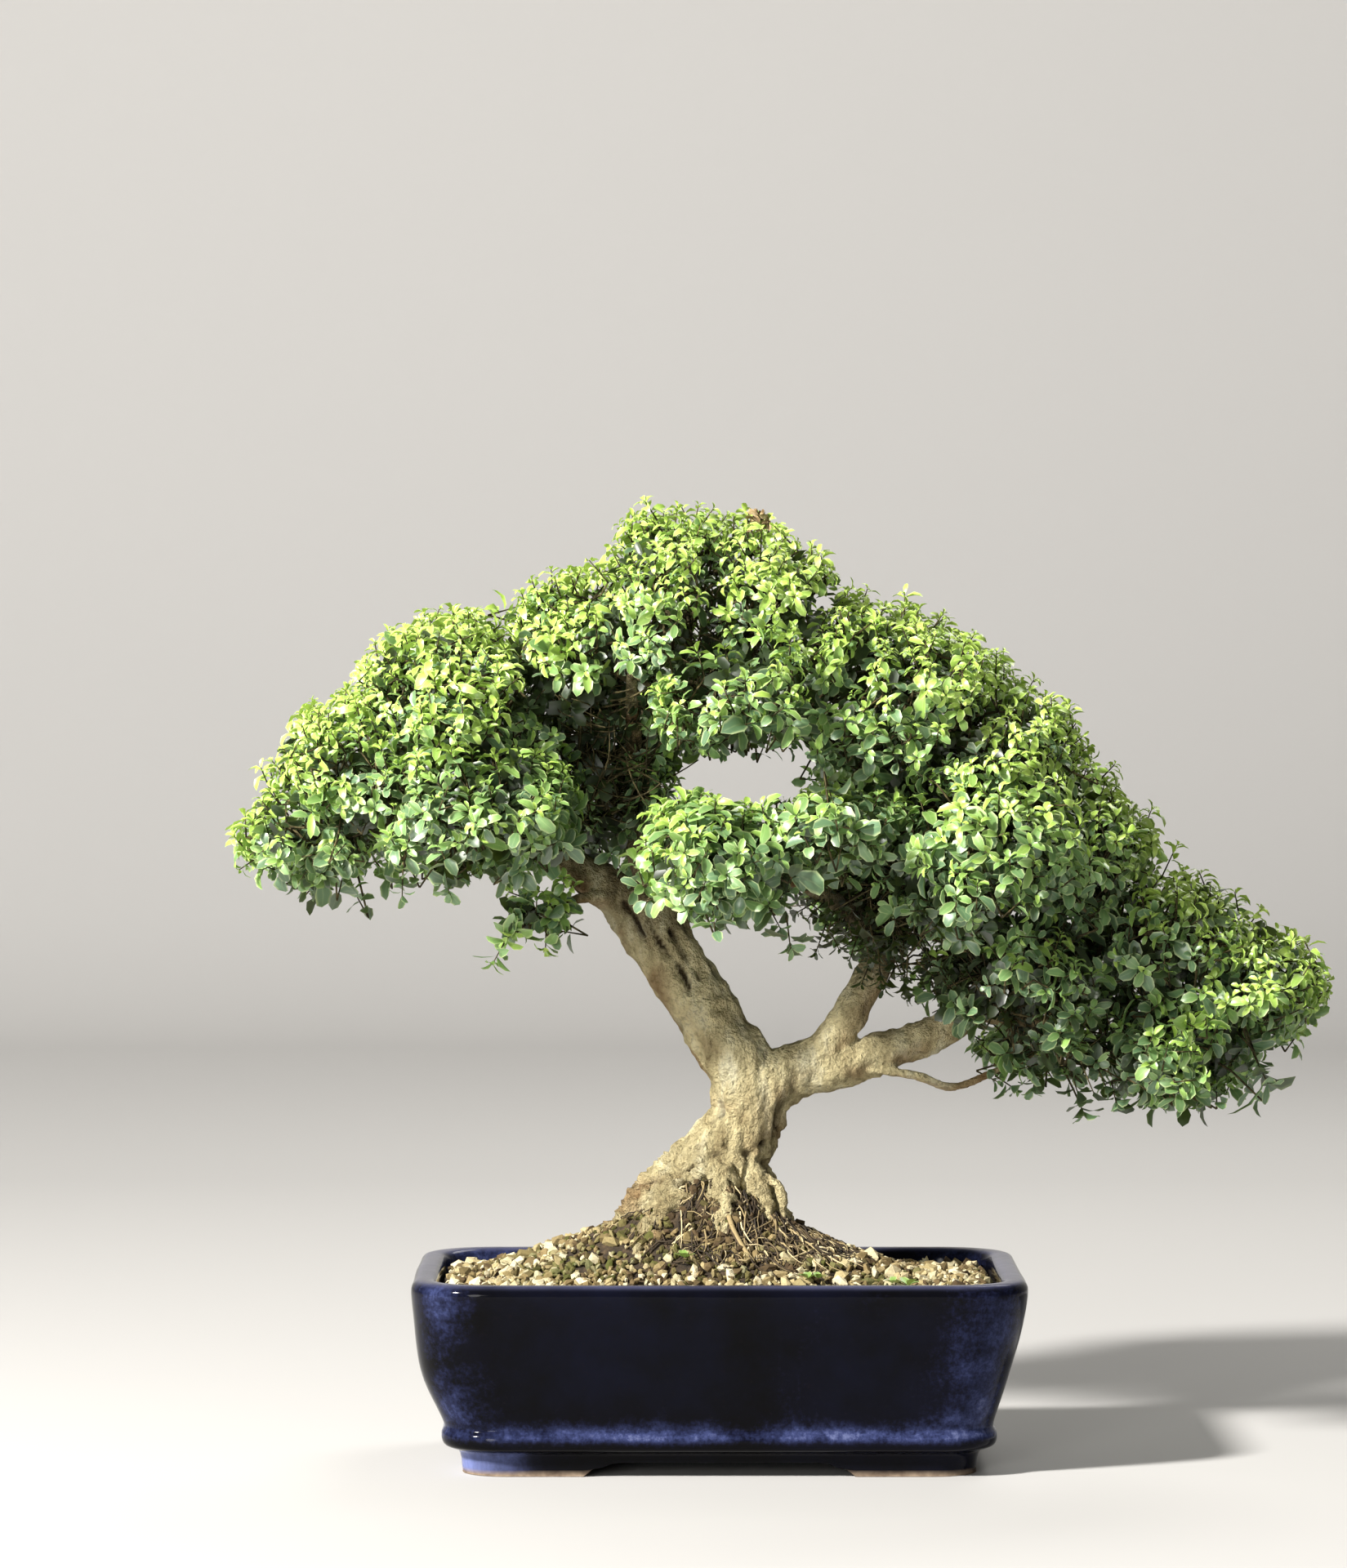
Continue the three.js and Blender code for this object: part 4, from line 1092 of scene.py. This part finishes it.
# Places on the skin of the joined lobes, so far under their reach: place, way out, lobe, how deep in a hollow
def skin(rng, under, apart):
    found = []
    for index, lobe in enumerate(LOBES):
        reach = np.maximum(lobe.reach - under, 3.0)
        area = 4 * math.pi * (reach[0] * reach[1] + reach[0] * reach[2] + reach[1] * reach[2]) / 3
        count = int(TRIES * area / (apart * apart)) + 8
        way = unit(rng.normal(size=(count, 3)))
        point = lobe.centre + way * reach
        clear = np.ones(count, dtype=bool)
        for other in LOBES:
            if other is not lobe:
                clear &= other.share(point, under) > 0.99
        point, out = point[clear], unit(way / reach)[clear]
        facing = smoothstep(0.0, 0.4, -out[:, 1])
        hollow, push = hollow_at(point)
        place = point + out * (LUMP * swelling(point) - push * facing)[:, None]
        found.append((place, out, np.full(len(out), index), hollow * facing))
    rows = [np.concatenate(row) for row in zip(*found)]
    kept = thinned(rows[0], apart, rng.permutation(len(rows[0])))
    return [row[kept] for row in rows]


# Where points are seen by the viewer, as x and z in the plane through the pot's middle
def seen(points):
    share = -CAMERA_AT[1] / (points[:, 1] - CAMERA_AT[1])
    x = CAMERA_AT[0] + (points[:, 0] - CAMERA_AT[0]) * share
    return x, CAMERA_AT[2] + (points[:, 2] - CAMERA_AT[2]) * share


def in_window(points, margin=0.0):
    return oval_share(*seen(points), WINDOW, margin) < 1.0


# All shoots of a layer, with their tips, axes, lengths, leaf sizes, nodes, leaf pairs, light and ways out
def make_shoots(rng, layer):
    rows = skin(rng, layer["under"], layer["apart"])
    tips, _, _, shades = rows
    keep = ~in_window(tips, 2.0) & (swelling(tips) > layer["least"]) & (rng.random(len(tips)) > 0.5 * shades)
    tips, ways, owners, shades = (row[keep] for row in rows)
    lift = np.array([0.0, 0.0, 1.0]) * (0.4 + 0.3 * rng.random((len(tips), 1)))
    axes = unit(ways * 0.8 + lift + 0.42 * rng.normal(size=tips.shape))
    return {
        "tip": tips + axes * (rng.random((len(tips), 1)) * 4.4 - 3.0),
        "axis": axes,
        "length": 6.5 + 5.0 * rng.random(len(tips)),
        "size": np.array([LOBES[k].leaf for k in owners]) * (1.0 - 0.2 * shades),
        "node": np.array([LOBES[k].node for k in owners]),
        "pairs": np.full(len(tips), layer["pairs"]),
        "light": layer["light"] * (1.0 - 0.85 * shades),
        "way": ways,
    }


# Shoots inside the lobes, painted dark as shade, away from the open window
def make_inner(rng):
    bulk = np.array([np.prod(lobe.reach) for lobe in LOBES])
    owners = rng.choice(len(LOBES), INNER_SHOOTS, p=bulk / bulk.sum())
    way = unit(rng.normal(size=(INNER_SHOOTS, 3)))
    share = rng.uniform(*INNER_SHARE, (INNER_SHOOTS, 1))
    tips = np.array([LOBES[k].centre + way[i] * LOBES[k].reach * share[i] for i, k in enumerate(owners)])
    keep = ~in_window(tips, 8.0)
    owners, way, tips = owners[keep], way[keep], tips[keep]
    return {
        "tip": tips,
        "axis": unit(way + 0.6 * rng.normal(size=way.shape)),
        "length": 7.0 + 4.0 * rng.random(len(tips)),
        "size": np.full(len(tips), INNER_LEAF),
        "node": np.array([LOBES[k].node for k in owners]),
        "pairs": np.full(len(tips), 3),
        "light": np.zeros(len(tips)),
        "way": way,
    }


# Sprigs that hang or stand out by themselves, each a chain of short shoots
def make_sprigs(rng):
    shoots = []
    sprigs = ((node, light, row) for node, light, group in SPRIGS for row in group)
    for node, light, (*ends, size) in sprigs:
        start, end = np.array(ends, dtype=float).reshape(2, 3)
        span = end - start
        reach = float(np.linalg.norm(span))
        parts = max(1, round(reach / SPRIG_STEP))
        for k in range(parts):
            shoots.append({
                "tip": start + span * (k + 1) / parts,
                "axis": unit(span + 0.25 * reach * rng.normal(size=3)),
                "length": reach / parts + 1.5,
                "size": size,
                "node": node,
                "pairs": 4 if k == parts - 1 else 3,
                "light": light,
                "way": unit(span),
            })
    return {key: np.array([shoot[key] for shoot in shoots]) for key in shoots[0]}


# A leaf's points as shares of its length and half width, how near the edge each is, and its faces
def leaf_template(outline):
    rows = [(0.0, 0.0, 0.4)]
    for along, wide in outline:
        rows += [(along, 0.0, 0.0), (along, -wide, 1.0), (along, wide, 1.0)]
    rows.append((1.0, 0.0, 0.9))
    faces = [[0, 3, 1], [0, 1, 2]]
    for k in range(len(outline) - 1):
        mid, left, right = 3 * k + 1, 3 * k + 2, 3 * k + 3
        faces += [[mid, right, right + 3], [mid, right + 3, mid + 3]]
        faces += [[mid, mid + 3, left + 3], [mid, left + 3, left]]
    last = 3 * len(outline) - 2
    faces += [[last, last + 2, last + 3], [last, last + 3, last + 1]]
    along, across, edge = np.array(rows).T
    return along, across, edge, np.array(faces)


# Curled and folded leaves, as points and faces, and how near the edge each of a leaf's points is
def make_leaves(outline, base, way, up, length, width, curl, fold):
    along, across, edge, faces = leaf_template(outline)
    side = np.cross(way, up)
    bend = np.maximum(np.abs(curl), 0.02)[:, None]
    ahead = np.sin(bend * along[None]) / bend * length[:, None]
    fall = -np.sign(curl)[:, None] * (1.0 - np.cos(bend * along[None])) / bend * length[:, None]
    rise = fold[:, None] * np.abs(across)[None] * width[:, None] * 0.5
    points = (
        base[:, None, :]
        + way[:, None, :] * ahead[..., None]
        + side[:, None, :] * (across[None] * width[:, None] * 0.5)[..., None]
        + up[:, None, :] * (fall + rise)[..., None]
    )
    return (points.reshape(-1, 3), copied(faces, len(base), len(along))), edge


# Leaves in crossed pairs up the shoots, each pair's two sides as rows for all shoots
def dress(rng, shoots):
    count = len(shoots["tip"])
    axis = shoots["axis"]
    base = shoots["tip"] - axis * shoots["length"][:, None]
    helper = unit(np.cross(axis, unit(rng.normal(size=axis.shape))))
    other = np.cross(axis, helper)
    sizes = shoots["size"] * (0.8 + 0.4 * rng.random(count))
    parts = []
    last = len(PAIR_SIZE) - 1
    for pair in range(last + 1):
        has = shoots["pairs"] > last - pair
        for opposite in (0, 1):
            angle = pair * math.pi / 2 + opposite * math.pi + 0.3 * rng.normal(size=count)
            radial = helper * np.cos(angle)[:, None] + other * np.sin(angle)[:, None]
            spread = PAIR_SPREAD[pair] + 0.22 * rng.normal(size=count)
            way = axis * np.cos(spread)[:, None] + radial * np.sin(spread)[:, None]
            up = axis * np.sin(spread)[:, None] - radial * np.cos(spread)[:, None]
            roll = 0.3 * rng.normal(size=count)[:, None]
            up = unit(up * np.cos(roll) + np.cross(way, up) * np.sin(roll))
            place = base + axis * (shoots["length"] * PAIR_PLACE[pair])[:, None] + radial * 0.3
            old = 1.0 + 0.4 * (rng.random(count) < 0.05) * (pair < 3)
            size = sizes * PAIR_SIZE[pair] * (0.8 + 0.34 * rng.random(count)) * old
            fresh = 0.085 * pair - 0.06 + 0.06 * rng.normal(size=count)
            parts.append((has, place, way, up, size, fresh, shoots["light"], shoots["way"]))
    return parts


# How yellow and bright a leaf is, from its depth under the crown's outline and the light that reaches it. The
# brightness is painted light and shade: leaves deep in the crown or in its hollows are darker, and those
# turned up or to the left lighter.
def tone_at(points, way_out, light, fresh):
    outline_x, outline_z = zip(*CROWN_TOP)
    under = np.interp(points[:, 0], outline_x, outline_z) - points[:, 2]
    height = smoothstep(64.0, 4.0, under)
    turned = np.clip(way_out[:, 2] * 0.8 - way_out[:, 0] * 0.2, -1, 1)
    patches = 0.12 * noise_at(points, 24.0, 51) + 0.08 * noise_at(points, 9.0, 52)
    tone_and_shade = 0.06 + 0.3 * height + 0.13 * turned + 0.34 * light + fresh + patches
    return np.clip(tone_and_shade * (0.22 + 0.78 * smoothstep(0.02, 0.55, light)), 0.0, 1.0)


# Leaves of one outline: points and faces, and the tone with its painted shade and the nearness to the edge of
# each point
def grow_leaves(rng, outline, rows):
    place, way, up, size, fresh, light, out = (np.concatenate(row) for row in zip(*rows))
    count = len(place)
    tone_and_shade = tone_at(place, out, light, fresh)
    young = smoothstep(0.4, 0.8, tone_and_shade)
    length = LEAF_LENGTH * size * (1.0 + 0.12 * rng.normal(size=count))
    width = LEAF_WIDTH * size * (0.92 + 0.24 * rng.random(count)) * (1.0 - 0.3 * young)
    curl = 0.35 + 1.15 * rng.random(count) + 0.7 * young
    fold = rng.uniform(0.0, 0.65, count) + 0.35 * young
    shape, edge = make_leaves(outline, place, way, up, length, width, curl, fold)
    return shape, np.repeat(tone_and_shade, len(edge)), np.tile(edge, count)


def make_foliage(leaf, twig):
    rng = np.random.default_rng(FOLIAGE_SEED)
    layers = [make_shoots(rng, layer) for layer in LAYERS] + [make_sprigs(rng)]
    outer = {key: np.concatenate([layer[key] for layer in layers]) for key in layers[0]}
    inner = make_inner(rng)
    shoots = {key: np.concatenate([outer[key], inner[key]]) for key in outer}
    hidden = shoots["light"] < HIDDEN_LIGHT
    parts = dress(rng, shoots)
    for node in FOLIAGE:
        grown = []
        for outline, which in ((LEAF_OUTLINE, ~hidden), (HIDDEN_OUTLINE, hidden)):
            mine = which & (shoots["node"] == node)
            rows = [[row[has & mine] for row in rest] for has, *rest in parts]
            grown.append(grow_leaves(rng, outline, rows))
        shapes, tones, edges = zip(*grown)
        values = {"tone_and_shade": np.concatenate(tones), "across": np.concatenate(edges)}
        make_piece(node.replace("foliage", "leaves"), joined(shapes), leaf, "leaf", node, **values)
    make_twigs(rng, outer, twig)
    make_dead_twigs(rng, twig)


# The small brown shoot that has dried on top of the crown
def make_dried(material):
    rng = np.random.default_rng(DRIED_SEED)
    way = unit(rng.normal(size=(DRIED_LEAVES, 3)) + np.array([0.0, 0.0, 0.5]))
    base = np.array(DRIED) + 1.6 * rng.normal(size=(DRIED_LEAVES, 3))
    up = unit(np.cross(way, unit(rng.normal(size=way.shape))))
    length = 3.0 + 1.5 * rng.random(DRIED_LEAVES)
    curl = rng.uniform(-1.8, 1.8, DRIED_LEAVES)
    fold = rng.uniform(0.4, 1.2, DRIED_LEAVES)
    shape, _ = make_leaves(LEAF_OUTLINE, base, way, up, length, length * 0.5, curl, fold)
    make_piece("dried_shoot", shape, material, "bark")


# Thin bent tubes, one from each start to its end
def twig_lines(rng, start, end, thick, thin, rings, sides):
    middle = (start + end) / 2
    span = np.linalg.norm(end - start, axis=1, keepdims=True)
    middle = middle + 0.09 * span * rng.normal(size=middle.shape) - np.array([0, 0, 0.06]) * span
    t = np.linspace(0, 1, rings)[None, :, None]
    paths = (1 - t) ** 2 * start[:, None] + 2 * t * (1 - t) * middle[:, None] + t**2 * end[:, None]
    radii = thick + (thin - thick) * t[..., 0] * np.ones((len(start), 1))
    return tubes(paths, radii, sides)


# For each child, the nearest of the parents
def nearest(children, parents):
    best = np.empty(len(children), dtype=int)
    for begin in range(0, len(children), BLOCK):
        block = slice(begin, begin + BLOCK)
        away = np.linalg.norm(children[block, None] - parents[None], axis=2)
        best[block] = np.argmin(away, axis=1)
    return parents[best]


def make_twigs(rng, shoots, material):
    hidden = [rows for key, rows in LIMBS.items() if key not in ("trunk", "right", "left")]
    limbs = [smooth_rows(rows, 30)[6:, :3] for rows in hidden]
    wood = np.vstack(limbs + [smooth_rows(rows, 16)[4:, :3] for rows in BRANCHES])
    inner = skin(rng, 26.0, 15.0)[0]
    outer = skin(rng, 16.0, 11.0)[0]
    inner = inner[~in_window(inner)]
    outer = outer[~in_window(outer)]
    base = shoots["tip"] - shoots["axis"] * shoots["length"][:, None]
    joints = np.vstack([outer, inner])
    groups = [
        twig_lines(rng, nearest(inner, wood), inner, 1.0, 0.7, 5, 5),
        twig_lines(rng, nearest(outer, np.vstack([inner, wood])), outer, 0.75, 0.5, 4, 4),
        twig_lines(rng, nearest(base, joints), base, 0.5, 0.36, 3, 3),
        twig_lines(rng, base, shoots["tip"], 0.36, 0.2, 2, 3),
    ]
    for name, shape in zip(("twigs_main", "twigs_fine", "twigs_last", "twigs_shoots"), groups):
        make_piece(name, shape, material, "bark")


# Bare crooked twigs that fill the crown's hollows
def make_dead_twigs(rng, material):
    rows = np.array(HOLLOWS, dtype=float)
    share = rows[:, 2] * rows[:, 3] * rows[:, 4]
    which = rng.choice(len(rows), DEAD_TWIGS, p=share / share.sum())
    middle_x, middle_z, half_x, half_z, _ = rows[which].T
    angle = rng.uniform(0, 2 * math.pi, DEAD_TWIGS)
    away = np.sqrt(rng.random(DEAD_TWIGS))
    depth = rng.uniform(-34.0, 24.0, DEAD_TWIGS)
    x = middle_x + half_x * away * np.cos(angle)
    z = middle_z + half_z * away * np.sin(angle)
    start = np.column_stack([x, depth, z])
    inside = np.any([lobe.share(start, 8.0) < 1.0 for lobe in LOBES], axis=0)
    start = start[inside & ~in_window(start)]
    way = unit(rng.normal(size=start.shape) + np.array([0.0, -0.3, 0.5]))
    end = start + way * rng.uniform(8.0, 20.0, (len(start), 1))
    make_piece("twigs_dead", twig_lines(rng, start, end, 0.42, 0.2, 5, 3), material, "bark")


# The stage

def make_stage():
    path = [(-FLOOR_HALF, 0.0), (FLOOR_BACK, 0.0)]
    for i in range(1, WALL_STEPS + 1):
        angle = i / WALL_STEPS * math.pi / 2
        path.append((FLOOR_BACK + WALL_RADIUS * math.sin(angle), WALL_RADIUS * (1 - math.cos(angle))))
    path.append((FLOOR_BACK + WALL_RADIUS, WALL_TOP))
    points = [(x, y, z) for y, z in path for x in (-FLOOR_HALF, FLOOR_HALF)]
    faces = [(2 * i, 2 * i + 1, 2 * i + 3, 2 * i + 2) for i in range(len(path) - 1)]
    mesh = bpy.data.meshes.new("studio_floor")
    mesh.from_pydata(to_frame(points).tolist(), [], faces)
    mesh.polygons.foreach_set("use_smooth", np.full(len(faces), True))
    n = Nodes("studio_floor")
    split = n.put("ShaderNodeSeparateXYZ")
    n.join(n.place(), split.inputs["Vector"])
    far = n.span(split.outputs["Y"], *(y * MM for y in FLOOR_CHANGE))
    n.surface(n.mix(far, *(linear(*colour) for colour in FLOOR_COLOURS)), 0.9)
    mesh.materials.append(n.material)
    floor = bpy.data.objects.new("studio_floor", mesh)
    bpy.context.scene.collection.objects.link(floor)


def add_light(name, place, target, size, power, colour):
    data = bpy.data.lights.new(name, "AREA")
    data.shape = "DISK"
    data.size = size * MM
    data.energy = power
    data.color = colour
    lamp = bpy.data.objects.new(name, data)
    at = Vector(to_frame([place])[0])
    to = Vector(to_frame([target])[0])
    lamp.location = at
    lamp.rotation_euler = (to - at).to_track_quat("-Z", "Y").to_euler()
    bpy.context.scene.collection.objects.link(lamp)


def make_lights():
    world = bpy.data.worlds.new("studio")
    world.use_nodes = True
    background = world.node_tree.nodes["Background"]
    background.inputs["Color"].default_value = WORLD_COLOUR
    background.inputs["Strength"].default_value = WORLD_STRENGTH
    bpy.context.scene.world = world
    for light in LIGHTS:
        add_light(*light)


def make_camera():
    data = bpy.data.cameras.new("camera")
    data.lens = CAMERA_LENS
    data.sensor_width = SENSOR
    data.sensor_fit = "AUTO"
    data.clip_start = CLIP_NEAR
    data.clip_end = CLIP_FAR
    camera = bpy.data.objects.new("camera", data)
    camera.location = Vector(to_frame([CAMERA_AT])[0])
    camera.rotation_euler = (math.radians(90.0 - CAMERA_DOWN), 0.0, 0.0)
    bpy.context.scene.collection.objects.link(camera)
    bpy.context.scene.camera = camera


def main():
    make_camera()
    make_lights()
    make_stage()
    make_pot(glaze_material())
    make_soil(grained_material("soil_bed"))
    make_grains(grain_material())
    make_fine_roots(root_material())
    make_wood(bark_material())
    leaf = leaf_material()
    make_seedlings(leaf)
    make_foliage(leaf, grained_material("twig"))
    make_dried(grained_material("dry_leaf"))
    screen = grained_material("screen_plastic")
    for name in ("drain_screen_left", "drain_screen_right"):
        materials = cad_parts[name].data.materials
        materials.clear()
        materials.append(screen)


main()
bpy.context.scene.view_settings.view_transform = "Standard"
